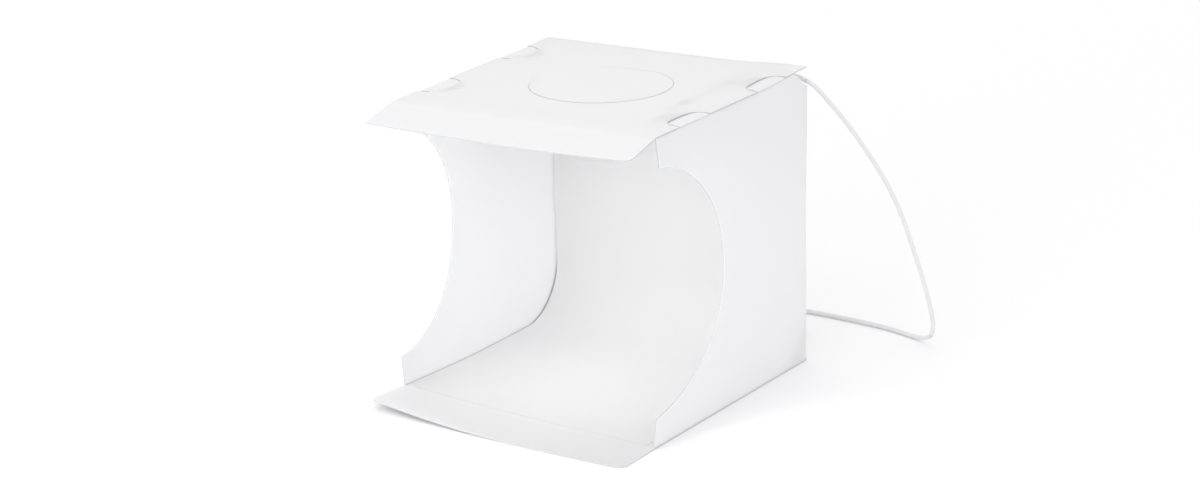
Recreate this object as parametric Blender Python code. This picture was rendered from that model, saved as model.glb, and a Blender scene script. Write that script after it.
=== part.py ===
"""Folding light tent cube: a die-cut sheet box with an open front, a swept backdrop and a lit top.

Metres, +Z up. The open front faces -Y and +X is to the right. The origin is under the middle of the floor
panel, lip included, on the surface that the box stands on.
"""
import math

import bmesh
import bpy
from mathutils import Vector

# The box
WIDTH = 0.234
DEPTH = 0.226
HEIGHT = 0.240
SHEET = 0.0010
GAP = 0.0003
OVERRUN = 0.002
CREASE_CLEAR = GAP * math.sqrt(0.5)
HALF_WIDTH = WIDTH / 2
CEILING = HEIGHT - SHEET

# The floor's lip, in front of the side walls
LIP_LENGTH = 0.041
LIP_BOW = 0.005
LIP_CORNER = 0.012
LIP_FRONT_STEPS = 16
CORNER_STEPS = 5
Y_BACK = (DEPTH + LIP_LENGTH + LIP_BOW) / 2
Y_FRONT = Y_BACK - DEPTH
CORNER = (HALF_WIDTH, Y_BACK, CEILING)

# The flap on the top panel's front crease
FLAP_LENGTH = 0.036
FLAP_BOW = 0.005
FLAP_CORNER = 0.004
FLAP_DROOP = math.radians(14)

# The side walls, with a half-round cut in the front edge
WALL_SETBACK = 0.0015
CUT_DEPTH = 0.0865
CUT_ABOVE_FLOOR = 0.0244
CUT_BELOW_TOP = 0.0264
CUT_SLANT = 0.006
CUT_STEPS = 28
CUT_HALF_SPAN = (HEIGHT - CUT_ABOVE_FLOOR - CUT_BELOW_TOP) / 2
CUT_RADIUS = (CUT_DEPTH ** 2 + CUT_HALF_SPAN ** 2) / (2 * CUT_DEPTH)
CUT_CENTRE_Y = Y_FRONT + WALL_SETBACK + CUT_DEPTH - CUT_RADIUS
CUT_CENTRE_Z = CUT_ABOVE_FLOOR + CUT_HALF_SPAN

# The hole that the lead leaves through, cut from the back panel and the right wall at their top corner
RELIEF_DROP = 0.015
RELIEF_BACK_RUN = 0.014
RELIEF_WALL_RUN = 0.022
RELIEF_CORNER = 0.005

# The half-moon tabs on the walls and the notches in the top panel that they tuck into
TAB_SHEET = 0.0008
TAB_HALF_LENGTH = 0.0205
TAB_REACH = 0.0265
TAB_ROOT = 0.009
TAB_BEND = 0.0014
TAB_CREST_DROP = 0.0001
TAB_TUCK_RUN = 0.0090
TAB_TIP_DROP = 0.0012
TAB_INSET = 0.056
TAB_PLACES = (TAB_INSET, DEPTH - TAB_INSET)
TAB_STEPS = 7
TAB_COLUMNS = 8
TAB_TIP_SHARE = 0.963
NOTCH_HALF_LENGTH = 0.0230
NOTCH_REACH = 0.0210
NOTCH_STEPS = 16

# The round hatch in the top panel
HATCH_RADIUS = 0.0555
HATCH_CREASE = 0.036
HATCH_STEPS = 48
HATCH_CENTRE_Y = Y_FRONT + DEPTH / 2
HATCH_CREASE_Y = HATCH_CENTRE_Y + math.sqrt(HATCH_RADIUS ** 2 - (HATCH_CREASE / 2) ** 2)

# The backdrop, one bent sheet
BACKDROP_SIDE_CLEAR = 0.010
BACKDROP_SHEET = 0.0005
BACKDROP_SWEEP = 0.040
BACKDROP_TOP_CLEAR = 0.016
BACKDROP_FRONT_INSET = 0.004
BACKDROP_BACK_CLEAR = 0.0008
BACKDROP_SWEEP_STEPS = 12

# The LED bar, on the underside of the top panel
BOARD_END_CLEAR = 0.017
BOARD_LENGTH = WIDTH - 2 * BOARD_END_CLEAR
BOARD_WIDTH = 0.010
BOARD_SHEET = 0.0010
BOARD_SETBACK = 0.022
TAPE_SHEET = 0.0004
TAPE_MARGIN = 0.001
LED_COUNT = 20
LED_PITCH = BOARD_LENGTH / (LED_COUNT + 1)
LED_LENGTH = 0.0035
LED_WIDTH = 0.0028
LED_HEIGHT = 0.0008
LED_FRAME = 0.0004
LED_RECESS = 0.0002
RESISTOR_COUNT = 4
RESISTOR_LENGTH = 0.0020
RESISTOR_WIDTH = 0.0013
RESISTOR_HEIGHT = 0.0005
BOARD_Y = Y_FRONT + BOARD_SETBACK
TAPE_TOP = CEILING - GAP
BOARD_TOP = TAPE_TOP - TAPE_SHEET - GAP
BOARD_UNDER = BOARD_TOP - BOARD_SHEET

# The lead, and its run under the top panel's right side
CORD_RADIUS = 0.0018
CORD_BEVEL_STEPS = 2
CORD_STEP = 0.009
CLIP_PAD_SHEET = 0.0008
CLIP_PAD_HALF = 0.0060
CLIP_WALL = 0.0010
CLIP_LENGTH = 0.008
CLIP_OPEN_AT = math.radians(340)
CLIP_STEPS = 14
CLIP_BORE = CORD_RADIUS + GAP
LEAD_Z = CEILING - GAP - CLIP_PAD_SHEET - CLIP_BORE
CLIP_INSET = 0.033
CLIP_X = HALF_WIDTH - CLIP_INSET
REAR_CLIP_INSET = 0.062
FRONT_CLIP_INSET = 0.096
LEAD_STEP = 0.004
LEAD_REAR_ROUTE = (
    (-0.0240, -0.0202, -0.0034),
    (-0.0302, -0.0350, -0.0032),
    (-0.0328, -0.0520, -0.0032),
)
LEAD_FRONT_ROUTE = (
    (-0.0326, 0.0500, -0.0032),
    (-0.0298, 0.0330, -0.0032),
    (-0.0265, 0.0230, -0.0032),
    (-0.0235, 0.0160, -0.0032),
)
LEAD_MEETS_BEND = ((-0.0193, -0.0124, -0.0041), (0.0050, 0.0072, -0.0004))
BEND_ROUTE = ((-0.0143, -0.0060, -0.0047), (-0.0104, -0.0021, -0.0052))
BEND_MEETS_CORD = ((-0.0023, 0.0037, -0.0083), (0.0055, 0.0036, -0.0037))
SLEEVE_RADIUS = 0.0027
SLEEVE_LENGTH = 0.008
SLEEVE_SETBACK = 0.0015
CORE_RADIUS = 0.0006
CORE_SPREAD = 0.0010
CORE_BEVEL_STEPS = 2
CORE_STEP = 0.002
SOLDER_RADIUS = 0.0012
SOLDER_HEIGHT = 0.0007
SOLDER_SPACING = 0.0036
SOLDER_INSET = 0.0035
SOLDER_X = BOARD_LENGTH / 2 - SOLDER_INSET

# The lead outside the box, from the relief hole down to the table and into its coil
SURFACE_CLEAR = 0.0003
CORD_REST_Z = CORD_RADIUS + SURFACE_CLEAR
COIL_X = -0.085
COIL_Y = 0.212
COIL_OUTER = 0.0245
COIL_PITCH = 0.0041
COIL_TURNS_IN = 2.75
COIL_TURN_POINTS = 24
COIL_BEVEL_STEPS = 1
COIL_LAYER = 0.0041
COIL_END_RUN = 2 * CORD_RADIUS
CORD_ROUTE = (
    (0.1210, 0.1438, 0.2258),
    (0.1262, 0.1469, 0.2195),
    (0.1325, 0.1501, 0.2113),
    (0.1383, 0.1535, 0.2032),
    (0.1440, 0.1568, 0.1947),
    (0.1500, 0.1601, 0.1855),
    (0.1550, 0.1630, 0.1770),
    (0.1620, 0.1668, 0.1648),
    (0.1690, 0.1712, 0.1510),
    (0.1755, 0.1750, 0.1370),
    (0.1825, 0.1792, 0.1180),
    (0.1900, 0.1838, 0.0930),
    (0.1962, 0.1890, 0.0680),
    (0.2000, 0.1955, 0.0450),
    (0.2000, 0.2030, 0.0260),
    (0.1955, 0.2110, 0.0125),
    (0.1865, 0.2185, 0.0052),
    (0.1730, 0.2250, CORD_REST_Z),
    (0.1450, 0.2325, CORD_REST_Z),
    (0.1050, 0.2362, CORD_REST_Z),
    (0.0500, 0.2366, CORD_REST_Z),
    (0.0000, COIL_Y + COIL_OUTER, CORD_REST_Z),
    (-0.0300, COIL_Y + COIL_OUTER, CORD_REST_Z),
)
COIL_STARTS_AT = (COIL_X + COIL_END_RUN, COIL_Y + COIL_OUTER, CORD_REST_Z)
CORD_MEETS_COIL = ((COIL_STARTS_AT[0] + GAP / 2, *COIL_STARTS_AT[1:]), (-COIL_END_RUN, 0, 0))

# The rocker switch on the lead
SWITCH_LENGTH = 0.046
SWITCH_WIDTH = 0.017
SWITCH_LOWER_HEIGHT = 0.0068
SWITCH_UPPER_HEIGHT = 0.0062
SWITCH_WALL = 0.0014
SWITCH_CORNER = 0.004
SWITCH_AXIS_Z = SURFACE_CLEAR + SWITCH_LOWER_HEIGHT + GAP / 2
SWITCH_X = -0.0260
SWITCH_Y = COIL_Y - COIL_OUTER
STRAIN_LENGTH = 0.0085
STRAIN_TIP = 0.0021
STRAIN_ROOT = 0.0031
STRAIN_NECK = 0.0024
STRAIN_FLANGE = 0.0034
STRAIN_FLANGE_LENGTH = 0.0014
ROUND_SIDES = 20
WINDOW_LENGTH = 0.0150
WINDOW_WIDTH = 0.0086
ROCKER_RISE = 0.0024
ROCKER_DEPTH = 0.0034
ROCKER_TILT = math.radians(9)
ROCKER_CLEAR = 0.0005
ROCKER_WAIST_SHARE = 0.45
AXLE_RADIUS = 0.0009
AXLE_LENGTH = 0.0011
AXLE_DROP = 0.0022
RAIL_LENGTH = 0.0060
RAIL_SHEET = 0.0016
CONTACT_LENGTH = 0.0090
CONTACT_WIDTH = 0.0030
CONTACT_SHEET = 0.0004
CONTACT_RISE = 0.0016

# The USB plug
PLUG_LENGTH = 0.0205
PLUG_WIDTH = 0.0156
PLUG_HEIGHT = 0.0080
PLUG_CORNER = 0.0022
PLUG_TAIL_LENGTH = 0.0100
PLUG_TAIL_ROOT = 0.0034
PLUG_TAIL_TIP = 0.0023
SHELL_LENGTH = 0.0120
SHELL_WIDTH = 0.0120
SHELL_HEIGHT = 0.0045
SHELL_SHEET = 0.0004
TONGUE_WIDTH = 0.0104
TONGUE_SHEET = 0.0017
TONGUE_SETBACK = 0.0006
PLUG_CONTACT_LENGTH = 0.0072
PLUG_CONTACT_WIDTH = 0.0010
PLUG_CONTACT_SHEET = 0.0002
PLUG_CONTACT_SPACING = 0.0070
PLUG_AXIS_Z = SURFACE_CLEAR + PLUG_HEIGHT / 2
PLUG_TAIL_X = 0.0450

SMOOTH_BELOW = math.radians(35)
ROUTE_PARTS = 20

WHITE_SHEET = ("white_polypropylene", (0.86, 0.87, 0.89, 1.0), 0.42, 0.0)
BACKDROP_WHITE = ("white_backdrop", (0.84, 0.85, 0.87, 1.0), 0.55, 0.0)
TAPE_GREY = ("adhesive_tape", (0.55, 0.55, 0.54, 1.0), 0.7, 0.0)
BOARD_WHITE = ("board_white", (0.83, 0.84, 0.84, 1.0), 0.4, 0.0)
LED_YELLOW = ("led_phosphor", (0.86, 0.76, 0.32, 1.0), 0.5, 0.0)
CHIP_BLACK = ("chip_black", (0.03, 0.03, 0.03, 1.0), 0.5, 0.0)
CORD_WHITE = ("white_cord", (0.80, 0.80, 0.81, 1.0), 0.4, 0.0)
CORE_RED = ("core_red", (0.55, 0.03, 0.03, 1.0), 0.45, 0.0)
CORE_BLACK = ("core_black", (0.02, 0.02, 0.02, 1.0), 0.45, 0.0)
SOLDER = ("solder", (0.60, 0.61, 0.62, 1.0), 0.3, 1.0)
SWITCH_WHITE = ("white_moulding", (0.82, 0.82, 0.83, 1.0), 0.35, 0.0)
ROCKER_GREY = ("rocker_grey", (0.62, 0.63, 0.64, 1.0), 0.35, 0.0)
BRASS = ("brass", (0.72, 0.55, 0.26, 1.0), 0.3, 1.0)
PLATED_STEEL = ("plated_steel", (0.66, 0.67, 0.68, 1.0), 0.25, 1.0)


def clear_scene():
    """Removes every object that the file opened with."""
    for thing in list(bpy.data.objects):
        bpy.data.objects.remove(thing, do_unlink=True)


def material(look):
    """The Principled material of one look, made once."""
    name, colour, roughness, metallic = look
    found = bpy.data.materials.get(name)
    if found:
        return found
    made = bpy.data.materials.new(name)
    made.use_nodes = True
    shader = made.node_tree.nodes["Principled BSDF"]
    shader.inputs["Base Color"].default_value = colour
    shader.inputs["Roughness"].default_value = roughness
    shader.inputs["Metallic"].default_value = metallic
    made.diffuse_color = colour
    return made


def axis_empty(name, place):
    """An empty on a joint's axis, for the pieces that turn or slide there."""
    empty = bpy.data.objects.new(name, None)
    empty.location = place
    bpy.context.scene.collection.objects.link(empty)
    return empty


def stand_object(name, mesh, look, parent=None, smooth=False):
    """One named object from a mesh in world places, hung on its joint's empty where it moves."""
    thing = bpy.data.objects.new(name, mesh)
    bpy.context.scene.collection.objects.link(thing)
    if look:
        mesh.materials.append(material(look))
    if parent:
        thing.parent = parent
        thing.location = -parent.location
    if smooth:
        mesh.shade_smooth()
        mesh.set_sharp_from_angle(angle=SMOOTH_BELOW)
    return thing


def mesh_from(name, corners, faces):
    """A mesh with its faces turned outwards."""
    mesh = bpy.data.meshes.new(name)
    mesh.from_pydata([tuple(corner) for corner in corners], [], faces)
    shape = bmesh.new()
    shape.from_mesh(mesh)
    bmesh.ops.recalc_face_normals(shape, faces=shape.faces)
    shape.to_mesh(mesh)
    shape.free()
    return mesh


def slab(name, first, second, place_first, place_second):
    """A closed plate between two matched outlines, each put in space by its own function."""
    count = len(first)
    corners = [place_first(*point) for point in first] + [place_second(*point) for point in second]
    faces = [list(range(count)), list(range(2 * count - 1, count - 1, -1))]
    for index in range(count):
        following = (index + 1) % count
        faces.append([index, following, count + following, count + index])
    return mesh_from(name, corners, faces)


def box_mesh(name, size, centre):
    """A plain block."""
    half = [length / 2 for length in size]
    outline = [(-half[0], -half[1]), (half[0], -half[1]), (half[0], half[1]), (-half[0], half[1])]
    return slab(
        name,
        outline,
        outline,
        lambda x, y: (centre[0] + x, centre[1] + y, centre[2] - half[2]),
        lambda x, y: (centre[0] + x, centre[1] + y, centre[2] + half[2]),
    )


def arc(centre, radii, start, end, steps):
    """Points along an arc of a circle or an ellipse, both ends included."""
    points = []
    for index in range(steps + 1):
        angle = start + (end - start) * index / steps
        points.append((centre[0] + radii[0] * math.cos(angle), centre[1] + radii[1] * math.sin(angle)))
    return points


def rounded_rectangle(half_length, half_width, corner, steps):
    """The outline of a rectangle with round corners, about the origin."""
    points = []
    for turn, (along, across) in enumerate(((1, 1), (-1, 1), (-1, -1), (1, -1))):
        centre = (along * (half_length - corner), across * (half_width - corner))
        start = turn * math.pi / 2
        points += arc(centre, (corner, corner), start, start + math.pi / 2, steps)
    return points


def held_in(points, clear, low=(None, None), high=(None, None)):
    """The outline with the points that lie on a crease drawn back from it by a clearance."""
    drawn = []
    for point in points:
        moved = list(point)
        for axis in (0, 1):
            if low[axis] is not None:
                moved[axis] = max(moved[axis], low[axis] + clear)
            if high[axis] is not None:
                moved[axis] = min(moved[axis], high[axis] - clear)
        drawn.append(tuple(moved))
    return drawn


def cutter(thing):
    """Marks an object as a tool that shapes another one."""
    thing.hide_render = True
    thing.display_type = "WIRE"
    return thing


def shaped(thing, tool, operation):
    """A Boolean on one object, with the tool kept as a guide."""
    change = thing.modifiers.new(operation.lower(), "BOOLEAN")
    change.operation = operation
    change.solver = "EXACT"
    change.object = cutter(tool)
    return thing


def turned(name, profile, origin, direction, sides):
    """A solid of revolution from (along, radius) pairs, closed by a flat face at each end."""
    along = Vector(direction).normalized()
    across = along.orthogonal().normalized()
    other = along.cross(across)
    corners = []
    for reach, radius in profile:
        for side in range(sides):
            angle = 2 * math.pi * side / sides
            spoke = across * math.cos(angle) + other * math.sin(angle)
            corners.append(Vector(origin) + along * reach + spoke * radius)
    faces = [list(range(sides)), list(range(len(corners) - sides, len(corners)))]
    for ring in range(len(profile) - 1):
        for side in range(sides):
            following = (side + 1) % sides
            start = ring * sides
            faces.append([start + side, start + following, start + sides + following, start + sides + side])
    return mesh_from(name, corners, faces)


def smooth_route(route, step):
    """Points a step apart along a smooth curve through the route's own points."""
    knots = [Vector(point) for point in route]
    knots = [2 * knots[0] - knots[1]] + knots + [2 * knots[-1] - knots[-2]]
    fine = []
    for index in range(1, len(knots) - 2):
        before, start, end, after = knots[index - 1:index + 3]
        reach = (end - start).length
        leave = (end - before) * (reach / ((end - start).length + (start - before).length))
        arrive = (after - start) * (reach / ((end - start).length + (after - end).length))
        for part in range(ROUTE_PARTS):
            share = part / ROUTE_PARTS
            square, cube = share ** 2, share ** 3
            fine.append(
                start * (2 * cube - 3 * square + 1)
                + leave * (cube - 2 * square + share)
                + end * (3 * square - 2 * cube)
                + arrive * (cube - square)
            )
    fine.append(knots[-2])
    lengths = [0.0]
    for first, second in zip(fine, fine[1:]):
        lengths.append(lengths[-1] + (second - first).length)
    count = max(2, round(lengths[-1] / step))
    spread = []
    seat = 0
    for index in range(count + 1):
        wanted = lengths[-1] * index / count
        while seat < len(fine) - 2 and lengths[seat + 1] < wanted:
            seat += 1
        share = (wanted - lengths[seat]) / (lengths[seat + 1] - lengths[seat])
        spread.append(fine[seat].lerp(fine[seat + 1], share))
    return spread, lengths[-1]


def placed(origin, offsets):
    """Points given by their offsets from an origin."""
    return [Vector(origin) + Vector(offset) for offset in offsets]


def meeting(origin, meet):
    """A meeting place on the lead, a point given by its offset from an origin and a way through it."""
    return placed(origin, meet[:1])[0], Vector(meet[1])


def met_route(start, route, end):
    """A route between two meeting places. Both ends run straight for one diameter of the cord and stop
    half a gap short of the meeting point.
    """
    points = [Vector(point) for point in route]
    if start:
        place, way = Vector(start[0]), Vector(start[1]).normalized()
        points = [place + way * GAP / 2, place + way * (GAP / 2 + 2 * CORD_RADIUS)] + points
    if end:
        place, way = Vector(end[0]), Vector(end[1]).normalized()
        points += [place - way * (GAP / 2 + 2 * CORD_RADIUS), place - way * GAP / 2]
    return points


def tube(name, points, radius, level, look, parent=None):
    """A round cord along the points, as a curve with filled ends."""
    curve = bpy.data.curves.new(name, "CURVE")
    curve.dimensions = "3D"
    curve.bevel_depth = radius
    curve.bevel_resolution = level
    curve.use_fill_caps = True
    spline = curve.splines.new("POLY")
    spline.points.add(len(points) - 1)
    for point, place in zip(spline.points, points):
        point.co = (*place, 1.0)
    curve.materials.append(material(look))
    thing = bpy.data.objects.new(name, curve)
    bpy.context.scene.collection.objects.link(thing)
    if parent:
        thing.parent = parent
        thing.location = -parent.location
    return thing


def bowed_front(half_width, length, bow, corner, steps):
    """The front of a lip or flap, from its right side to its left: a shallow bow between round corners."""
    points = arc((half_width - corner, -(length - corner)), (corner, corner), 0, -math.pi / 2, CORNER_STEPS)
    straight = half_width - corner
    for index in range(1, steps):
        share = 1 - 2 * index / steps
        points.append((straight * share, -(length + bow * (1 - share ** 2))))
    corner_left = (-(half_width - corner), -(length - corner))
    return points + arc(corner_left, (corner, corner), -math.pi / 2, -math.pi, CORNER_STEPS)


def back_panel():
    """The upright back, creased on all four sides, with the lead's relief hole at its top right corner."""
    outline = [(-HALF_WIDTH, 0), (HALF_WIDTH, 0), (HALF_WIDTH, HEIGHT - RELIEF_DROP)]
    inner_x = HALF_WIDTH - RELIEF_BACK_RUN
    inner_z = HEIGHT - RELIEF_DROP
    outline += arc(
        (inner_x + RELIEF_CORNER, inner_z + RELIEF_CORNER),
        (RELIEF_CORNER, RELIEF_CORNER),
        -math.pi / 2,
        -math.pi,
        CORNER_STEPS,
    )
    outline += [(inner_x, HEIGHT), (-HALF_WIDTH, HEIGHT)]
    low, high = (-HALF_WIDTH, 0), (HALF_WIDTH, HEIGHT)
    outer = held_in(outline, CREASE_CLEAR, low, high)
    inner = held_in(outline, CREASE_CLEAR + SHEET, low, high)
    mesh = slab(
        "back_panel",
        outer,
        inner,
        lambda x, z: (x, Y_BACK, z),
        lambda x, z: (x, Y_BACK - SHEET, z),
    )
    return stand_object("back_panel", mesh, WHITE_SHEET)


def floor_panel(parent):
    """The floor, creased to the back panel, with the bowed lip in front of the side walls."""
    lip = bowed_front(HALF_WIDTH, LIP_LENGTH, LIP_BOW, LIP_CORNER, LIP_FRONT_STEPS)
    outline = [(-HALF_WIDTH, Y_BACK), (HALF_WIDTH, Y_BACK)] + [(x, Y_FRONT + y) for x, y in lip]
    outer = held_in(outline, CREASE_CLEAR, high=(None, Y_BACK))
    inner = held_in(outline, CREASE_CLEAR + SHEET, high=(None, Y_BACK))
    mesh = slab("floor_panel", outer, inner, lambda x, y: (x, y, 0), lambda x, y: (x, y, SHEET))
    return stand_object("floor_panel", mesh, WHITE_SHEET, parent)


def wall_outline(with_relief):
    """A side wall seen from its side, in Y and Z: square at the back, with the half-round cut in front."""
    front = Y_FRONT + WALL_SETBACK
    bottom = SHEET + GAP
    top = CEILING - GAP
    points = [(front, bottom), (Y_BACK, bottom)]
    if with_relief:
        inner = (Y_BACK - RELIEF_WALL_RUN + RELIEF_CORNER, HEIGHT - RELIEF_DROP + RELIEF_CORNER)
        points.append((Y_BACK, HEIGHT - RELIEF_DROP))
        points += arc(inner, (RELIEF_CORNER, RELIEF_CORNER), -math.pi / 2, -math.pi, CORNER_STEPS)
        points.append((Y_BACK - RELIEF_WALL_RUN, top))
    else:
        points.append((Y_BACK, top))
    points.append((front, top))
    start = math.acos((front + CUT_SLANT - CUT_CENTRE_Y) / CUT_RADIUS)
    end = -math.acos((front - CUT_CENTRE_Y) / CUT_RADIUS)
    return points + arc((CUT_CENTRE_Y, CUT_CENTRE_Z), (CUT_RADIUS, CUT_RADIUS), start, end, CUT_STEPS)


def wall_tab(name, side, place):
    """A half-moon tab: up from the wall's top edge, folded inwards and tucked down under the top panel.

    Its middle surface follows a path of (inboard, height) pairs, and its half length is an ellipse's.
    """
    crest = HEIGHT - TAB_CREST_DROP - TAB_SHEET / 2
    start = SHEET / 2
    path = [(start, HEIGHT - TAB_ROOT), (start, crest - TAB_BEND)]
    bend = arc((start + TAB_BEND, crest - TAB_BEND), (TAB_BEND, TAB_BEND), math.pi, math.pi / 2, 4)
    path += bend[1:]
    tucked = CEILING - GAP - TAB_SHEET / 2
    path.append((TAB_TUCK_RUN, tucked))
    for index in range(1, TAB_STEPS + 1):
        share = index / TAB_STEPS
        run = TAB_TUCK_RUN + (TAB_REACH * TAB_TIP_SHARE - TAB_TUCK_RUN) * math.sin(share * math.pi / 2)
        path.append((run, tucked - TAB_TIP_DROP * share))
    corners = []
    for index, (run, height) in enumerate(path):
        before = path[max(index - 1, 0)]
        after = path[min(index + 1, len(path) - 1)]
        tangent = Vector((after[0] - before[0], after[1] - before[1])).normalized()
        half = TAB_HALF_LENGTH * math.sqrt(1 - ((run - start) / TAB_REACH) ** 2)
        for face in (0.5, -0.5):
            x = run - tangent.y * TAB_SHEET * face
            z = height + tangent.x * TAB_SHEET * face
            for column in range(TAB_COLUMNS + 1):
                along = half * (2 * column / TAB_COLUMNS - 1)
                corners.append((side * (HALF_WIDTH - x), Y_FRONT + place + along, z))
    return stand_object(name, grid_skin(name, corners, len(path), TAB_COLUMNS + 1), None)


def grid_skin(name, corners, rows, columns):
    """The closed mesh of a sheet given row by row, its two faces one after the other in each row."""
    faces = []
    for row in range(rows - 1):
        for face in (0, 1):
            here = (2 * row + face) * columns
            ahead = here + 2 * columns
            for column in range(columns - 1):
                faces.append([here + column, here + column + 1, ahead + column + 1, ahead + column])
        for column in (0, columns - 1):
            here = 2 * row * columns + column
            faces.append([here, here + columns, here + 3 * columns, here + 2 * columns])
    for row in (0, rows - 1):
        for column in range(columns - 1):
            here = 2 * row * columns + column
            faces.append([here, here + 1, here + columns + 1, here + columns])
    return mesh_from(name, corners, faces)


def side_wall(name, side, parent, with_relief):
    """A side wall, creased to the back panel, with its two half-moon tabs."""
    outline = wall_outline(with_relief)
    outer = held_in(outline, CREASE_CLEAR, high=(Y_BACK, None))
    inner = held_in(outline, CREASE_CLEAR + SHEET, high=(Y_BACK, None))
    mesh = slab(
        name,
        outer,
        inner,
        lambda y, z: (side * HALF_WIDTH, y, z),
        lambda y, z: (side * (HALF_WIDTH - SHEET), y, z),
    )
    wall = stand_object(name, mesh, WHITE_SHEET, parent)
    for number, place in enumerate(TAB_PLACES, 1):
        shaped(wall, wall_tab(f"{name}_tab_{number}", side, place), "UNION")
    return wall


def hatch_outline(radius, crease_y):
    """A circle with a straight crease at its rear, counted from the crease's right end round the front."""
    start = math.asin((crease_y - HATCH_CENTRE_Y) / radius)
    end = -math.pi - start
    return arc((0, HATCH_CENTRE_Y), (radius, radius), start, end, HATCH_STEPS)


def top_panel(parent):
    """The top, creased to the back panel and the flap, with four notches and the round opening."""
    outline = [(HALF_WIDTH, Y_BACK), (-HALF_WIDTH, Y_BACK)]
    for side, places in ((-1, reversed(TAB_PLACES)), (1, TAB_PLACES)):
        for place in places:
            centre = (side * HALF_WIDTH, Y_FRONT + place)
            radii = (-side * NOTCH_REACH, NOTCH_HALF_LENGTH)
            start = -side * math.pi / 2
            outline += arc(centre, radii, start, start + side * math.pi, NOTCH_STEPS)
        if side < 0:
            outline += [(-HALF_WIDTH, Y_FRONT), (HALF_WIDTH, Y_FRONT)]
    low, high = (None, Y_FRONT), (None, Y_BACK)
    outer = held_in(outline, CREASE_CLEAR, low, high)
    inner = held_in(outline, CREASE_CLEAR + SHEET, low, high)
    mesh = slab("top_panel", outer, inner, lambda x, y: (x, y, HEIGHT), lambda x, y: (x, y, CEILING))
    panel = stand_object("top_panel", mesh, WHITE_SHEET, parent)
    opening = hatch_outline(HATCH_RADIUS, HATCH_CREASE_Y)
    hole = slab(
        "hatch_opening",
        opening,
        opening,
        lambda x, y: (x, y, HEIGHT + OVERRUN),
        lambda x, y: (x, y, CEILING - OVERRUN),
    )
    return shaped(panel, stand_object("hatch_opening", hole, None, parent), "DIFFERENCE")


def top_hatch(parent):
    """The round lid, cut out of the top panel and hung on a short crease at its rear."""
    outline = hatch_outline(HATCH_RADIUS - GAP, HATCH_CREASE_Y - GAP)
    mesh = slab("top_hatch", outline, outline, lambda x, y: (x, y, HEIGHT), lambda x, y: (x, y, CEILING))
    return stand_object("top_hatch", mesh, WHITE_SHEET, parent)


def front_flap(parent):
    """The flap that shades the LED bar, drooping from the top panel's front crease."""
    front = bowed_front(HALF_WIDTH, FLAP_LENGTH, FLAP_BOW, FLAP_CORNER, LIP_FRONT_STEPS)
    outline = [(-HALF_WIDTH, 0), (HALF_WIDTH, 0)] + front
    outer = held_in(outline, CREASE_CLEAR, high=(None, 0))
    inner = held_in(outline, CREASE_CLEAR + SHEET, high=(None, 0))
    mesh = slab("front_flap", outer, inner, lambda x, y: (x, y, 0), lambda x, y: (x, y, -SHEET))
    flap = stand_object("front_flap", mesh, WHITE_SHEET)
    flap.parent = parent
    flap.rotation_euler = (FLAP_DROOP, 0, 0)
    return flap


def backdrop_sheet(parent):
    """The backdrop: flat on the floor, swept up through a quarter round and standing against the back."""
    under = SHEET + GAP
    behind = Y_BACK - SHEET - BACKDROP_BACK_CLEAR
    centre = (behind - BACKDROP_SWEEP, under + BACKDROP_SWEEP)
    inside = BACKDROP_SWEEP - BACKDROP_SHEET
    front = Y_FRONT + BACKDROP_FRONT_INSET
    outer = arc(centre, (BACKDROP_SWEEP, BACKDROP_SWEEP), -math.pi / 2, 0, BACKDROP_SWEEP_STEPS)
    inner = arc(centre, (inside, inside), 0, -math.pi / 2, BACKDROP_SWEEP_STEPS)
    top = HEIGHT - BACKDROP_TOP_CLEAR
    outline = [(front, under)] + outer + [(behind, top), (behind - BACKDROP_SHEET, top)]
    outline += inner + [(front, under + BACKDROP_SHEET)]
    half = HALF_WIDTH - SHEET - BACKDROP_SIDE_CLEAR
    mesh = slab("backdrop_sheet", outline, outline, lambda y, z: (-half, y, z), lambda y, z: (half, y, z))
    return stand_object("backdrop_sheet", mesh, BACKDROP_WHITE, parent, smooth=True)


def led_mesh():
    """One LED with its light window set into a raised rim, hanging down from the board's face."""
    top = BOARD_UNDER - GAP
    low = top - LED_HEIGHT
    half = (LED_LENGTH / 2, LED_WIDTH / 2)
    window = (half[0] - LED_FRAME, half[1] - LED_FRAME)
    corners = []
    for height, reach in ((top, half), (low, half), (low, window), (low + LED_RECESS, window)):
        for along, across in ((-1, -1), (1, -1), (1, 1), (-1, 1)):
            corners.append((along * reach[0], across * reach[1], height))
    faces = [[0, 1, 2, 3], [12, 13, 14, 15]]
    for ring in range(3):
        for side in range(4):
            following = (side + 1) % 4
            start = 4 * ring
            faces.append([start + side, start + following, start + 4 + following, start + 4 + side])
    return mesh_from("led", corners, faces)


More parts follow.
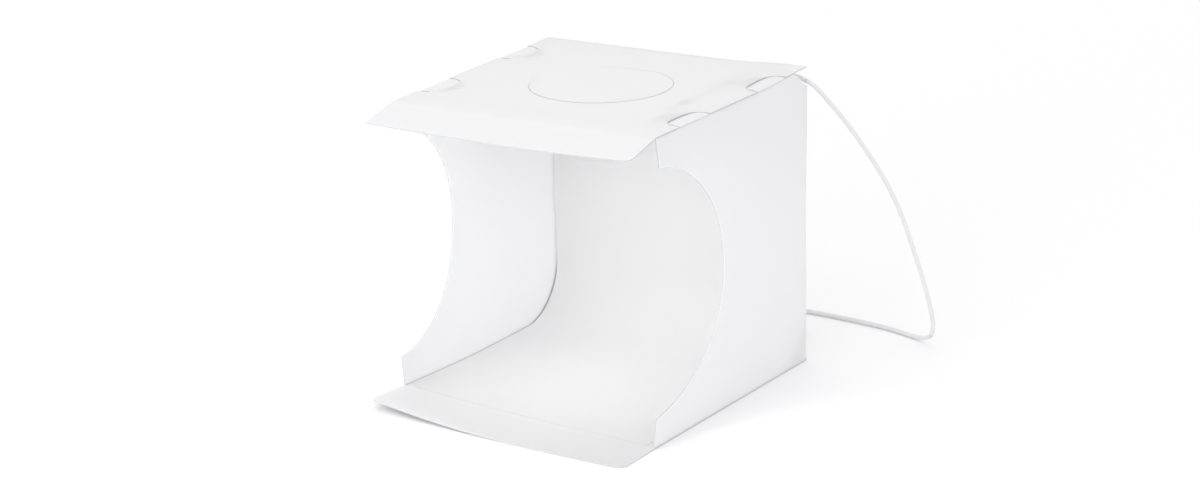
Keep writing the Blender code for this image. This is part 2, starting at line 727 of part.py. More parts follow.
def led_bar(parent):
    """The LED bar: tape, board, a row of LEDs and their resistors."""
    tape_size = (BOARD_LENGTH - 2 * TAPE_MARGIN, BOARD_WIDTH - 2 * TAPE_MARGIN, TAPE_SHEET)
    tape = box_mesh("led_board_tape", tape_size, (0, BOARD_Y, TAPE_TOP - TAPE_SHEET / 2))
    stand_object("led_board_tape", tape, TAPE_GREY, parent)
    board_size = (BOARD_LENGTH, BOARD_WIDTH, BOARD_SHEET)
    board = box_mesh("led_board", board_size, (0, BOARD_Y, BOARD_TOP - BOARD_SHEET / 2))
    stand_object("led_board", board, BOARD_WHITE, parent)
    shared = led_mesh()
    shared.materials.append(material(LED_YELLOW))
    first = -LED_PITCH * (LED_COUNT - 1) / 2
    for number in range(LED_COUNT):
        led = bpy.data.objects.new(f"led_{number + 1:02d}", shared)
        bpy.context.scene.collection.objects.link(led)
        led.parent = parent
        led.location = Vector((first + number * LED_PITCH, BOARD_Y, 0)) - parent.location
    group = LED_COUNT // RESISTOR_COUNT
    for number in range(RESISTOR_COUNT):
        x = first + LED_PITCH * (number * group + (group - 1) / 2) + LED_PITCH / 2
        z = BOARD_UNDER - GAP - RESISTOR_HEIGHT / 2
        size = (RESISTOR_LENGTH, RESISTOR_WIDTH, RESISTOR_HEIGHT)
        name = f"led_resistor_{number + 1}"
        stand_object(name, box_mesh(name, size, (x, BOARD_Y, z)), CHIP_BLACK, parent)


def lead_clip(name, centre, parent):
    """An adhesive clip under the top panel, its arm curled under the lead that runs through its centre."""
    outer = CLIP_BORE + CLIP_WALL
    pad_low = CLIP_BORE
    pad_high = CLIP_BORE + CLIP_PAD_SHEET
    meet = math.pi - math.asin(CLIP_BORE / outer)
    outline = [(-CLIP_PAD_HALF, pad_high), (CLIP_PAD_HALF, pad_high), (CLIP_PAD_HALF, pad_low)]
    outline += arc((0, 0), (CLIP_BORE, CLIP_BORE), math.pi / 2, CLIP_OPEN_AT, CLIP_STEPS)
    outline += arc((0, 0), (outer, outer), CLIP_OPEN_AT, meet, CLIP_STEPS)
    outline.append((-CLIP_PAD_HALF, pad_low))
    mesh = slab(
        name,
        outline,
        outline,
        lambda x, z: (centre.x + x, centre.y - CLIP_LENGTH / 2, centre.z + z),
        lambda x, z: (centre.x + x, centre.y + CLIP_LENGTH / 2, centre.z + z),
    )
    return stand_object(name, mesh, SWITCH_WHITE, parent)


def inner_lead(parent):
    """The lead's run under the top panel, its clips, the sleeve over its end and the two soldered cores."""
    place, way = meeting(CORNER, LEAD_MEETS_BEND)
    rear_clip = Vector((CLIP_X, Y_BACK - REAR_CLIP_INSET, LEAD_Z))
    front_clip = Vector((CLIP_X, Y_FRONT + FRONT_CLIP_INSET, LEAD_Z))
    route = placed(CORNER, LEAD_REAR_ROUTE) + [rear_clip, rear_clip.lerp(front_clip, 0.5), front_clip]
    route += placed((HALF_WIDTH, BOARD_Y, CEILING), LEAD_FRONT_ROUTE)
    run, length = smooth_route(met_route((place, -way), route, None), LEAD_STEP)
    tube("lead_inner", run, CORD_RADIUS, CORD_BEVEL_STEPS, CORD_WHITE, parent)
    lead_clip("lead_clip_rear", rear_clip, parent)
    lead_clip("lead_clip_front", front_clip, parent)
    end = run[-1]
    way = (run[-1] - run[-2]).normalized()
    start = end - way * (SLEEVE_LENGTH + SLEEVE_SETBACK)
    bore = CORD_RADIUS + GAP
    outside = ((0, SLEEVE_RADIUS), (SLEEVE_LENGTH, SLEEVE_RADIUS))
    mesh = turned("lead_sleeve", outside, start, way, ROUND_SIDES)
    sleeve = stand_object("lead_sleeve", mesh, CORD_WHITE, parent, smooth=True)
    inside = ((-OVERRUN, bore), (SLEEVE_LENGTH + OVERRUN, bore))
    mesh = turned("lead_sleeve_bore", inside, start, way, ROUND_SIDES)
    shaped(sleeve, stand_object("lead_sleeve_bore", mesh, None, parent), "DIFFERENCE")
    pad_z = BOARD_UNDER - GAP
    for name, spread, look in (("plus", -1, CORE_RED), ("minus", 1, CORE_BLACK)):
        across = way.cross(Vector((0, 0, 1))).normalized() * spread
        leave = end + way * GAP + across * CORE_SPREAD
        pad = Vector((SOLDER_X + spread * -SOLDER_SPACING / 2, BOARD_Y + BOARD_WIDTH / 4, pad_z))
        solder = ((0, SOLDER_RADIUS), (SOLDER_HEIGHT / 2, SOLDER_RADIUS), (SOLDER_HEIGHT, SOLDER_RADIUS / 2))
        joint = turned(f"solder_{name}", solder, pad, (0, 0, -1), ROUND_SIDES)
        stand_object(f"solder_{name}", joint, SOLDER, parent, smooth=True)
        land = pad + Vector((0, SOLDER_RADIUS + GAP + CORE_RADIUS, -CORE_RADIUS))
        middle = leave.lerp(land, 0.5) + Vector((0, 0, -CORE_RADIUS))
        points, length = smooth_route((leave, leave + way * CORE_STEP, middle, land), CORE_STEP)
        tube(f"lead_core_{name}", points, CORE_RADIUS, CORE_BEVEL_STEPS, look, parent)


def lead_bend():
    """The stretch of lead that passes through the relief hole and bends when the top panel is lifted."""
    start = meeting(CORNER, LEAD_MEETS_BEND)
    end = meeting(CORNER, BEND_MEETS_CORD)
    points, length = smooth_route(met_route(start, placed(CORNER, BEND_ROUTE), end), LEAD_STEP)
    return tube("lead_bend", points, CORD_RADIUS, CORD_BEVEL_STEPS, CORD_WHITE)


def coil_points():
    """The coil's middle line: spiralling in on the lower layer, climbing in the half turn round its
    smallest radius, and spiralling out again on the upper one. Both ends run straight for one diameter.
    """
    turns = 2 * COIL_TURNS_IN
    count = round(turns * COIL_TURN_POINTS)
    points = [Vector(COIL_STARTS_AT)]
    for index in range(count + 1):
        turn = turns * index / count
        radius = COIL_OUTER - COIL_PITCH * (COIL_TURNS_IN - abs(turn - COIL_TURNS_IN))
        climb = min(max(2 * (turn - COIL_TURNS_IN) + 0.5, 0), 1)
        climb = climb ** 2 * (3 - 2 * climb)
        angle = math.pi / 2 + 2 * math.pi * turn
        x = COIL_X + radius * math.cos(angle)
        y = COIL_Y + radius * math.sin(angle)
        points.append(Vector((x, y, CORD_REST_Z + COIL_LAYER * climb)))
    points.append(points[-1] + Vector((COIL_END_RUN, 0, 0)))
    return points


def least_self_gap(points, radius):
    """The least clear distance between turns of a coil, read on its points half a turn or more apart."""
    least = math.inf
    for first in range(len(points)):
        for second in range(first + COIL_TURN_POINTS // 2, len(points)):
            least = min(least, (points[first] - points[second]).length)
    return least - 2 * radius


def free_cord():
    """The lead outside the box: down to the table, the coil, and the runs to the switch and the plug."""
    route = met_route(meeting(CORNER, BEND_MEETS_CORD), CORD_ROUTE, CORD_MEETS_COIL)
    run, run_length = smooth_route(route, CORD_STEP)
    tube("power_cord", run, CORD_RADIUS, CORD_BEVEL_STEPS, CORD_WHITE)
    coil = coil_points()
    tube("cord_coil", coil, CORD_RADIUS, COIL_BEVEL_STEPS, CORD_WHITE)
    coil_length = sum((second - first).length for first, second in zip(coil, coil[1:]))
    coil_end = coil[-1]
    switch_in = SWITCH_X - SWITCH_LENGTH / 2 - STRAIN_LENGTH
    switch_out = SWITCH_X + SWITCH_LENGTH / 2 + STRAIN_LENGTH
    ahead = Vector((1, 0, 0))
    coil_meet = (coil_end + ahead * GAP / 2, ahead)
    switch_in_meet = ((switch_in - GAP / 2, SWITCH_Y, SWITCH_AXIS_Z), ahead)
    switch_out_meet = ((switch_out + GAP / 2, SWITCH_Y, SWITCH_AXIS_Z), ahead)
    plug_meet = ((PLUG_TAIL_X - GAP / 2, SWITCH_Y, PLUG_AXIS_Z), ahead)
    points, first_length = smooth_route(met_route(coil_meet, (), switch_in_meet), LEAD_STEP)
    tube("cord_to_switch", points, CORD_RADIUS, CORD_BEVEL_STEPS, CORD_WHITE)
    points, second_length = smooth_route(met_route(switch_out_meet, (), plug_meet), LEAD_STEP)
    tube("cord_to_plug", points, CORD_RADIUS, CORD_BEVEL_STEPS, CORD_WHITE)
    total = run_length + coil_length + first_length + second_length
    print("coil: least gap to itself", round(least_self_gap(coil, CORD_RADIUS) * 1000, 2), "mm")
    print("lead outside the box:", round(total, 3), "m, of which the coil is", round(coil_length, 3), "m")


def switch_block(name, inset, low, high):
    """A block in the outline of the switch's housing, drawn in by an inset, between two heights."""
    outline = rounded_rectangle(
        SWITCH_LENGTH / 2 - inset,
        SWITCH_WIDTH / 2 - inset,
        SWITCH_CORNER - inset,
        CORNER_STEPS,
    )
    return slab(
        name,
        outline,
        outline,
        lambda x, y: (SWITCH_X + x, SWITCH_Y + y, low),
        lambda x, y: (SWITCH_X + x, SWITCH_Y + y, high),
    )


def switch_shell(name, low, high, pocket_low, pocket_high):
    """One half of the switch's housing: a shallow tray with round corners and a port at each end."""
    shell = stand_object(name, switch_block(name, 0, low, high), SWITCH_WHITE)
    hollow = switch_block(f"{name}_pocket", SWITCH_WALL, pocket_low, pocket_high)
    shaped(shell, stand_object(f"{name}_pocket", hollow, None), "DIFFERENCE")
    for end in (-1, 1):
        origin = (SWITCH_X + end * (SWITCH_LENGTH / 2 - SWITCH_WALL - OVERRUN), SWITCH_Y, SWITCH_AXIS_Z)
        profile = ((0, STRAIN_NECK + GAP), (SWITCH_WALL + 2 * OVERRUN, STRAIN_NECK + GAP))
        port = turned(f"{name}_port", profile, origin, (end, 0, 0), ROUND_SIDES)
        shaped(shell, stand_object(f"{name}_port_{end}", port, None), "DIFFERENCE")
    return shell


def strain_relief(name, end):
    """A soft sleeve where the lead enters the switch: flange inside, neck in the wall, taper outside."""
    face = SWITCH_LENGTH / 2
    inside = face - SWITCH_WALL - GAP
    profile = (
        (inside - STRAIN_FLANGE_LENGTH, STRAIN_FLANGE),
        (inside, STRAIN_FLANGE),
        (inside, STRAIN_NECK),
        (face + GAP, STRAIN_NECK),
        (face + GAP, STRAIN_ROOT),
        (face + STRAIN_LENGTH, STRAIN_TIP),
    )
    origin = (SWITCH_X, SWITCH_Y, SWITCH_AXIS_Z)
    mesh = turned(name, profile, origin, (end, 0, 0), ROUND_SIDES)
    return stand_object(name, mesh, CORD_WHITE, smooth=True)


def rocker(parent):
    """The rocker: a shallow V on top, a waist below and a stub axle at each side, tipped to its off side."""
    reach = WINDOW_LENGTH / 2 - ROCKER_CLEAR
    half = WINDOW_WIDTH / 2 - ROCKER_CLEAR
    waist = reach * ROCKER_WAIST_SHARE
    outline = [
        (-waist, -ROCKER_DEPTH),
        (waist, -ROCKER_DEPTH),
        (reach, 0),
        (reach, ROCKER_RISE + reach * math.sin(ROCKER_TILT)),
        (0, ROCKER_RISE),
        (-reach, ROCKER_RISE + reach * math.sin(ROCKER_TILT)),
        (-reach, 0),
    ]
    body = slab("switch_rocker", outline, outline, lambda x, z: (x, -half, z), lambda x, z: (x, half, z))
    thing = stand_object("switch_rocker", body, ROCKER_GREY)
    stub = half + AXLE_LENGTH
    profile = ((-stub, AXLE_RADIUS), (stub, AXLE_RADIUS))
    mesh = turned("rocker_axle", profile, (0, 0, 0), (0, 1, 0), ROUND_SIDES)
    axle = stand_object("rocker_axle", mesh, None)
    for part in (thing, axle):
        part.parent = parent
        part.rotation_euler = (0, -ROCKER_TILT, 0)
    return shaped(thing, axle, "UNION")


def rocker_switch():
    """The inline switch: two shells, two strain reliefs, two contacts and the rocker."""
    base = SURFACE_CLEAR
    middle = base + SWITCH_LOWER_HEIGHT
    upper_low = middle + GAP
    upper_high = upper_low + SWITCH_UPPER_HEIGHT
    roof = upper_high - SWITCH_WALL
    switch_shell("switch_lower_shell", base, middle, base + SWITCH_WALL, middle + OVERRUN)
    upper = switch_shell("switch_upper_shell", upper_low, upper_high, upper_low - OVERRUN, roof)
    axle_z = upper_high - AXLE_DROP
    for side in (-1, 1):
        y = SWITCH_Y + side * (WINDOW_WIDTH / 2 + RAIL_SHEET / 2)
        low = axle_z - 2 * AXLE_RADIUS
        size = (RAIL_LENGTH, RAIL_SHEET, roof + SWITCH_WALL / 2 - low)
        name = f"rocker_rail_{side}"
        rail = box_mesh(name, size, (SWITCH_X, y, low + size[2] / 2))
        shaped(upper, stand_object(name, rail, None), "UNION")
    window_size = (WINDOW_LENGTH, WINDOW_WIDTH, SWITCH_WALL + 2 * OVERRUN)
    window = box_mesh("rocker_window", window_size, (SWITCH_X, SWITCH_Y, upper_high - SWITCH_WALL / 2))
    shaped(upper, stand_object("rocker_window", window, None), "DIFFERENCE")
    half = WINDOW_WIDTH / 2 + RAIL_SHEET + OVERRUN / 2
    profile = ((-half, AXLE_RADIUS + GAP), (half, AXLE_RADIUS + GAP))
    bore = turned("rocker_bearing", profile, (SWITCH_X, SWITCH_Y, axle_z), (0, 1, 0), ROUND_SIDES)
    shaped(upper, stand_object("rocker_bearing", bore, None), "DIFFERENCE")
    pivot = axis_empty("rocker_pivot", (SWITCH_X, SWITCH_Y, axle_z))
    rocker(pivot)
    strain_relief("switch_sleeve_in", -1)
    strain_relief("switch_sleeve_out", 1)
    for name, end in (("switch_contact_in", -1), ("switch_contact_out", 1)):
        reach = SWITCH_LENGTH / 2 - SWITCH_WALL - STRAIN_FLANGE_LENGTH - 2 * GAP - CONTACT_LENGTH / 2
        low = base + SWITCH_WALL + GAP
        outline = [
            (-CONTACT_LENGTH / 2, 0),
            (CONTACT_LENGTH / 2, 0),
            (CONTACT_LENGTH / 2, CONTACT_SHEET),
            (CONTACT_SHEET - CONTACT_LENGTH / 2, CONTACT_SHEET),
            (CONTACT_SHEET - CONTACT_LENGTH / 2, CONTACT_RISE),
            (-CONTACT_LENGTH / 2, CONTACT_RISE),
        ]
        centre = SWITCH_X + end * reach
        mesh = slab(
            name,
            outline,
            outline,
            lambda x, z: (centre + end * x, SWITCH_Y - CONTACT_WIDTH / 2, low + z),
            lambda x, z: (centre + end * x, SWITCH_Y + CONTACT_WIDTH / 2, low + z),
        )
        stand_object(name, mesh, BRASS)


def usb_plug():
    """The USB plug: moulded grip with its tail, plated shell, tongue and the two power contacts."""
    grip_start = PLUG_TAIL_X + PLUG_TAIL_LENGTH
    grip_end = grip_start + PLUG_LENGTH
    outline = rounded_rectangle(PLUG_WIDTH / 2, PLUG_HEIGHT / 2, PLUG_CORNER, CORNER_STEPS)
    mesh = slab(
        "plug_grip",
        outline,
        outline,
        lambda y, z: (grip_start, SWITCH_Y + y, PLUG_AXIS_Z + z),
        lambda y, z: (grip_end, SWITCH_Y + y, PLUG_AXIS_Z + z),
    )
    grip = stand_object("plug_grip", mesh, SWITCH_WHITE)
    profile = ((0, PLUG_TAIL_TIP), (PLUG_TAIL_LENGTH + OVERRUN, PLUG_TAIL_ROOT))
    tail = turned("plug_tail", profile, (PLUG_TAIL_X, SWITCH_Y, PLUG_AXIS_Z), (1, 0, 0), ROUND_SIDES)
    shaped(grip, stand_object("plug_tail", tail, None), "UNION")
    shell_start = grip_end + GAP
    size = (SHELL_LENGTH, SHELL_WIDTH, SHELL_HEIGHT)
    centre = (shell_start + SHELL_LENGTH / 2, SWITCH_Y, PLUG_AXIS_Z)
    shell = stand_object("plug_shell", box_mesh("plug_shell", size, centre), PLATED_STEEL)
    mouth = (SHELL_LENGTH + 2 * OVERRUN, SHELL_WIDTH - 2 * SHELL_SHEET, SHELL_HEIGHT - 2 * SHELL_SHEET)
    shaped(shell, stand_object("plug_mouth", box_mesh("plug_mouth", mouth, centre), None), "DIFFERENCE")
    tongue_length = SHELL_LENGTH - TONGUE_SETBACK
    tongue_top = PLUG_AXIS_Z + SHELL_HEIGHT / 2 - SHELL_SHEET - GAP
    tongue_centre = (shell_start + tongue_length / 2, SWITCH_Y, tongue_top - TONGUE_SHEET / 2)
    tongue = box_mesh("plug_tongue", (tongue_length, TONGUE_WIDTH, TONGUE_SHEET), tongue_centre)
    stand_object("plug_tongue", tongue, CHIP_BLACK)
    for name, side in (("plug_contact_power", -1), ("plug_contact_ground", 1)):
        low = tongue_top - TONGUE_SHEET - GAP - PLUG_CONTACT_SHEET / 2
        place = (shell_start + tongue_length / 2, SWITCH_Y + side * PLUG_CONTACT_SPACING / 2, low)
        strip = box_mesh(name, (PLUG_CONTACT_LENGTH, PLUG_CONTACT_WIDTH, PLUG_CONTACT_SHEET), place)
        stand_object(name, strip, BRASS)


def light_tent():
    """Every piece, with an empty on each joint's axis."""
    clear_scene()
    floor_axis = axis_empty("floor_fold", (0, Y_BACK, 0))
    left_axis = axis_empty("left_wall_fold", (-HALF_WIDTH, Y_BACK, 0))
    right_axis = axis_empty("right_wall_fold", (HALF_WIDTH, Y_BACK, 0))
    top_axis = axis_empty("top_fold", (0, Y_BACK, HEIGHT))
    flap_axis = axis_empty("flap_fold", (0, Y_FRONT, HEIGHT))
    hatch_axis = axis_empty("hatch_open", (0, HATCH_CREASE_Y, HEIGHT))
    slide_axis = axis_empty("backdrop_slide", (0, 0, 0))
    back_panel()
    floor_panel(floor_axis)
    side_wall("left_side_wall", -1, left_axis, False)
    side_wall("right_side_wall", 1, right_axis, True)
    top_panel(top_axis)
    top_hatch(hatch_axis)
    front_flap(flap_axis)
    backdrop_sheet(slide_axis)
    led_bar(top_axis)
    inner_lead(top_axis)
    lead_bend()
    free_cord()
    rocker_switch()
    usb_plug()


light_tent()
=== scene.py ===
"""A folding light tent cube of white sheet plastic, dressed for its picture. Metres, +Z up, open to -Y."""
import math

import bmesh
import bpy
import numpy as np
from mathutils import Matrix


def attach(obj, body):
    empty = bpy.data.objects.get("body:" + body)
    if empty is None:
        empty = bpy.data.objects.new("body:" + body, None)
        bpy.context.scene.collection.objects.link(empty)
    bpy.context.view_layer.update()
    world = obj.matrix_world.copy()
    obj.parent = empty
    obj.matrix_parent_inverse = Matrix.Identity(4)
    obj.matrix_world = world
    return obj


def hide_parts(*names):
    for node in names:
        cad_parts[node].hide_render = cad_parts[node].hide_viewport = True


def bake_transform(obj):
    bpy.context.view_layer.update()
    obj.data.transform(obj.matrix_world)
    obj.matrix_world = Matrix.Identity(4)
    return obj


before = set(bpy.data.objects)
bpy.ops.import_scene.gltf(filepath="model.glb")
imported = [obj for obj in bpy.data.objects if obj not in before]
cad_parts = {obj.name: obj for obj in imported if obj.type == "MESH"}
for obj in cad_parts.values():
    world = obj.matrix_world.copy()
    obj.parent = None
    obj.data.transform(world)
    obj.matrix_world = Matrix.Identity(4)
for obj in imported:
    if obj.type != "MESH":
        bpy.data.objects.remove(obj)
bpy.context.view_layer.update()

# The camera. A 90 mm lens on a stand about 2.3 m away, in front of the box, to its right and a little above
# it, leaning by a little over half a degree. Its place was worked out from the box's edges in the photograph.
camera_side = math.radians(32.38)
camera_rise = math.radians(17.97)
camera_lean = math.radians(-0.633)
camera_reach = 2.295495
camera_aim = (0.0564577, 0.1281136)
front_crease_y = -0.090

back_way = np.array(
    [
        math.sin(camera_side) * math.cos(camera_rise),
        -math.cos(camera_side) * math.cos(camera_rise),
        math.sin(camera_rise),
    ]
)
level_way = np.array([math.cos(camera_side), math.sin(camera_side), 0.0])
steep_way = np.cross(back_way, level_way)
right_way = math.cos(camera_lean) * level_way + math.sin(camera_lean) * steep_way
up_way = math.cos(camera_lean) * steep_way - math.sin(camera_lean) * level_way
camera_place = camera_aim[0] * right_way + camera_aim[1] * up_way + camera_reach * back_way
camera_place[1] += front_crease_y
lens = bpy.data.cameras.new("picture_camera")
lens.lens = 90.0
lens.sensor_width = 36.0
lens.clip_start = 0.05
lens.clip_end = 60.0
camera = bpy.data.objects.new("picture_camera", lens)
camera.matrix_world = Matrix(
    [[right_way[i], up_way[i], back_way[i], camera_place[i]] for i in range(3)] + [[0, 0, 0, 1]]
)
bpy.context.scene.collection.objects.link(camera)
bpy.context.scene.camera = camera

# The lead outside the box. A soft white PVC jacket, 3.6 mm thick, leaves the rear right top corner, hangs out
# in a slack bow, lies down behind the box and is wound into two layers of turns up to its switch.
lead_radius = 0.0018
lead_meet_gap = 0.0003
lead_sides = 20
lead_step = 0.003
curve_points = 20
rest_gap = 0.0003
box_half_width = 0.117
box_depth = 0.226
box_back_y = 0.136
box_height = 0.240
sheet_thickness = 0.001
hole_corner = np.array([box_half_width, box_back_y, box_height - sheet_thickness])
hole_meet = hole_corner + (-0.0023, 0.0037, -0.0083)
hole_way = np.array([0.0055, 0.0036, -0.0037])
lead_rest_z = lead_radius + rest_gap
coil_centre = np.array([-0.085, 0.212])
coil_outer_radius = 0.0245
coil_pitch = 0.0041
coil_layer = 0.0041
coil_turns_in = 2.75
coil_points_a_turn = 36
coil_end_run = 2 * lead_radius
free_route = np.array(
    [
        (0.1210, 0.1438, 0.2258),
        (0.1262, 0.1469, 0.2195),
        (0.1325, 0.1501, 0.2113),
        (0.1383, 0.1535, 0.2032),
        (0.1440, 0.1568, 0.1947),
        (0.1500, 0.1601, 0.1855),
        (0.1550, 0.1630, 0.1770),
        (0.1620, 0.1668, 0.1648),
        (0.1690, 0.1712, 0.1510),
        (0.1755, 0.1750, 0.1370),
        (0.1825, 0.1792, 0.1180),
        (0.1900, 0.1838, 0.0930),
        (0.1962, 0.1890, 0.0680),
        (0.2000, 0.1955, 0.0450),
        (0.2000, 0.2030, 0.0260),
        (0.1955, 0.2110, 0.0125),
        (0.1865, 0.2185, 0.0052),
        (0.1730, 0.2250, lead_rest_z),
        (0.1450, 0.2325, lead_rest_z),
        (0.1050, 0.2362, lead_rest_z),
        (0.0500, 0.2366, lead_rest_z),
        (0.0000, 0.2365, lead_rest_z),
        (-0.0300, 0.2365, lead_rest_z),
    ]
)
switch_length = 0.046
switch_sleeve_length = 0.0085
switch_lower_height = 0.0068
switch_axis_z = rest_gap + switch_lower_height + lead_meet_gap / 2
switch_centre = np.array([-0.026, coil_centre[1] - coil_outer_radius, switch_axis_z])
switch_sleeve_reach = switch_length / 2 + switch_sleeve_length


def run_ends(place, way, outwards):
    """The two points of a lead's end: half a gap from the meeting place, and a diameter further along."""
    way = np.array(way) / np.linalg.norm(way) * outwards
    near = place + way * lead_meet_gap / 2
    return np.array([near, near + way * 2 * lead_radius])


def smooth_run(knots, step):
    """Points a step apart on a smooth curve through the knots: between each two knots a cubic whose ends
    point along the line from the knot before to the knot after, scaled to the two knots' own distance."""
    knots = np.asarray(knots, float)
    knots = np.concatenate([[2 * knots[0] - knots[1]], knots, [2 * knots[-1] - knots[-2]]])
    reach = np.linalg.norm(np.diff(knots, axis=0), axis=1)
    slope = (knots[2:] - knots[:-2]) / (reach[1:] + reach[:-1])[:, None]
    share = np.linspace(0, 1, curve_points, endpoint=False)[None, :, None]
    start, end = knots[1:-2, None], knots[2:-1, None]
    leave, arrive = (slope[:-1] * reach[1:-1, None])[:, None], (slope[1:] * reach[1:-1, None])[:, None]
    fine = start * (2 * share**3 - 3 * share**2 + 1) + leave * (share**3 - 2 * share**2 + share)
    fine = fine + end * (3 * share**2 - 2 * share**3) + arrive * (share**3 - share**2)
    fine = np.concatenate([fine.reshape(-1, 3), knots[-2:-1]])
    along = np.concatenate([[0], np.cumsum(np.linalg.norm(np.diff(fine, axis=0), axis=1))])
    wanted = np.linspace(0, along[-1], max(2, round(along[-1] / step)) + 1)
    return np.stack([np.interp(wanted, along, fine[:, axis]) for axis in range(3)], axis=1)


def coil_run():
    """The coil's middle line. The radius falls at a steady rate to the middle turn and grows again, and the
    height eases from the lower layer to the upper one in the half turn round the smallest radius."""
    turns = 2 * coil_turns_in
    turn = np.linspace(0, turns, round(turns * coil_points_a_turn) + 1)
    radius = coil_outer_radius - coil_pitch * (coil_turns_in - np.abs(turn - coil_turns_in))
    climb = np.clip(2 * (turn - coil_turns_in) + 0.5, 0, 1)
    climb = climb**2 * (3 - 2 * climb)
    angle = math.pi / 2 + 2 * math.pi * turn
    return np.stack(
        [
            coil_centre[0] + radius * np.cos(angle),
            coil_centre[1] + radius * np.sin(angle),
            lead_rest_z + coil_layer * climb,
        ],
        axis=1,
    )


def surface(name, *patches, outwards=None):
    """One mesh over patches: grids of points, one quad a cell, or (grid, keep) with only the cells where keep
    is true. Equal points become one, which closes seams and poles, joins patches and makes some cells
    triangles. Faces point outwards, or, patch by patch, along a given way on an open sheet."""
    grids, cells, count = [], [], 0
    for patch in patches:
        grid, keep = patch if isinstance(patch, tuple) else (patch, None)
        rows, columns = grid.shape[:2]
        index = count + np.arange(rows * columns).reshape(rows, columns)
        quads = np.stack([index[:-1, :-1], index[:-1, 1:], index[1:, 1:], index[1:, :-1]], axis=-1)
        across, along = grid[1:, 1:] - grid[:-1, :-1], grid[1:, :-1] - grid[:-1, 1:]
        if outwards is not None and np.cross(along, across).sum(axis=(0, 1)) @ np.array(outwards, float) > 0:
            quads = quads[..., ::-1]
        cells.append(quads.reshape(-1, 4) if keep is None else quads[keep])
        grids.append(grid.reshape(-1, 3))
        count += rows * columns
    # Adding zero makes -0.0 the same as 0.0.
    points, place = np.unique(np.round(np.concatenate(grids), 7) + 0.0, axis=0, return_inverse=True)
    used, corners = np.unique(place.reshape(-1)[np.concatenate(cells)], return_inverse=True)
    points, corners = points[used], corners.reshape(-1, 4)
    fresh = corners != np.roll(corners, 1, axis=1)
    whole, folded = corners[fresh.sum(axis=1) == 4], fresh.sum(axis=1) == 3
    triangles = corners[folded][fresh[folded]].reshape(-1, 3)
    mesh = bpy.data.meshes.new(name)
    mesh.from_pydata(points.tolist(), [], whole.tolist() + triangles.tolist())
    if outwards is None:
        shell = bmesh.new()
        shell.from_mesh(mesh)
        bmesh.ops.recalc_face_normals(shell, faces=shell.faces)
        shell.to_mesh(mesh)
        shell.free()
    mesh.shade_smooth()
    piece = bpy.data.objects.new(name, mesh)
    bpy.context.scene.collection.objects.link(piece)
    return piece


def swept(path):
    """The lead's round section carried along a path: rings of points square to the path's own way, each
    turned to the same slanting reference, with a point at each end that closes the tube."""
    way = np.gradient(path, axis=0)
    way /= np.linalg.norm(way, axis=1)[:, None]
    slant = np.array([0.50, -0.60, 0.62])
    across = slant - (way @ slant)[:, None] * way
    across /= np.linalg.norm(across, axis=1)[:, None]
    other = np.cross(way, across)
    angle = np.linspace(0, 2 * math.pi, lead_sides + 1)
    # The last angle is the first again, so that the seam closes.
    angle[-1] = 0
    ring = np.cos(angle)[None, :, None] * across[:, None] + np.sin(angle)[None, :, None] * other[:, None]
    tube = path[:, None] + lead_radius * ring
    ends = [np.repeat(path[at][None, None], lead_sides + 1, axis=1) for at in (0, -1)]
    return np.concatenate([ends[0], tube, ends[1]])


coil_start = np.array([coil_centre[0] + coil_end_run, coil_centre[1] + coil_outer_radius, lead_rest_z])
free_knots = np.concatenate(
    [
        run_ends(hole_meet, hole_way, 1),
        free_route,
        run_ends(coil_start + (lead_meet_gap / 2, 0, 0), (-1, 0, 0), -1)[::-1],
    ]
)
coil_points = coil_run()
coil_last = coil_points[-1] + (coil_end_run, 0, 0)
switch_in = switch_centre - (switch_sleeve_reach, 0, 0)
to_switch = [coil_last, coil_last + (coil_end_run, 0, 0), switch_in - (coil_end_run, 0, 0), switch_in]
runs = [smooth_run(free_knots, lead_step), coil_points, smooth_run(to_switch, lead_step)]
lead_path = np.concatenate(runs)
lead = surface("usb_lead", swept(lead_path))

# The last stretch of the lead, from the switch to the plug, of the same soft jacket. It is short, so its
# points are nearer together.
plug_lead_step = 0.002
switch_out = switch_centre + (switch_sleeve_reach, 0, 0)
plug_tail = np.array([0.045, switch_centre[1], 0.0043])
plug_knots = [switch_out, switch_out + (coil_end_run, 0, 0), plug_tail - (coil_end_run, 0, 0), plug_tail]
plug_path = smooth_run(plug_knots, plug_lead_step)
plug_lead = surface("usb_lead_end", swept(plug_path))


def linear(code):
    """An sRGB hex colour as linear red, green, blue and alpha: the dark end is a straight line and the rest a
    power of 2.4, as the sRGB curve has it."""
    part = np.array([int(code[at : at + 2], 16) for at in (1, 3, 5)]) / 255
    return (*np.where(part <= 0.04045, part / 12.92, ((part + 0.055) / 1.055) ** 2.4).tolist(), 1.0)


def finish_named(name, colour, roughness, **settings):
    """A new material with its surface shader set, and the nodes of its tree to add to."""
    made = bpy.data.materials.new(name)
    made.use_nodes = True
    shader = made.node_tree.nodes["Principled BSDF"]
    shader.inputs["Base Color"].default_value = linear(colour)
    shader.inputs["Roughness"].default_value = roughness
    for socket, value in settings.items():
        shader.inputs[socket.replace("_", " ")].default_value = value
    made.diffuse_color = linear(colour)
    return made, made.node_tree, shader


def add(tree, kind, links=(), **settings):
    """A node of a kind, with its properties or input values set and its inputs linked from other sockets."""
    node = tree.nodes.new(kind)
    for name, value in settings.items():
        if hasattr(node, name):
            setattr(node, name, value)
        else:
            node.inputs[name.replace("_", " ")].default_value = value
    for name, source in links:
        tree.links.new(source, node.inputs[name])
    return node


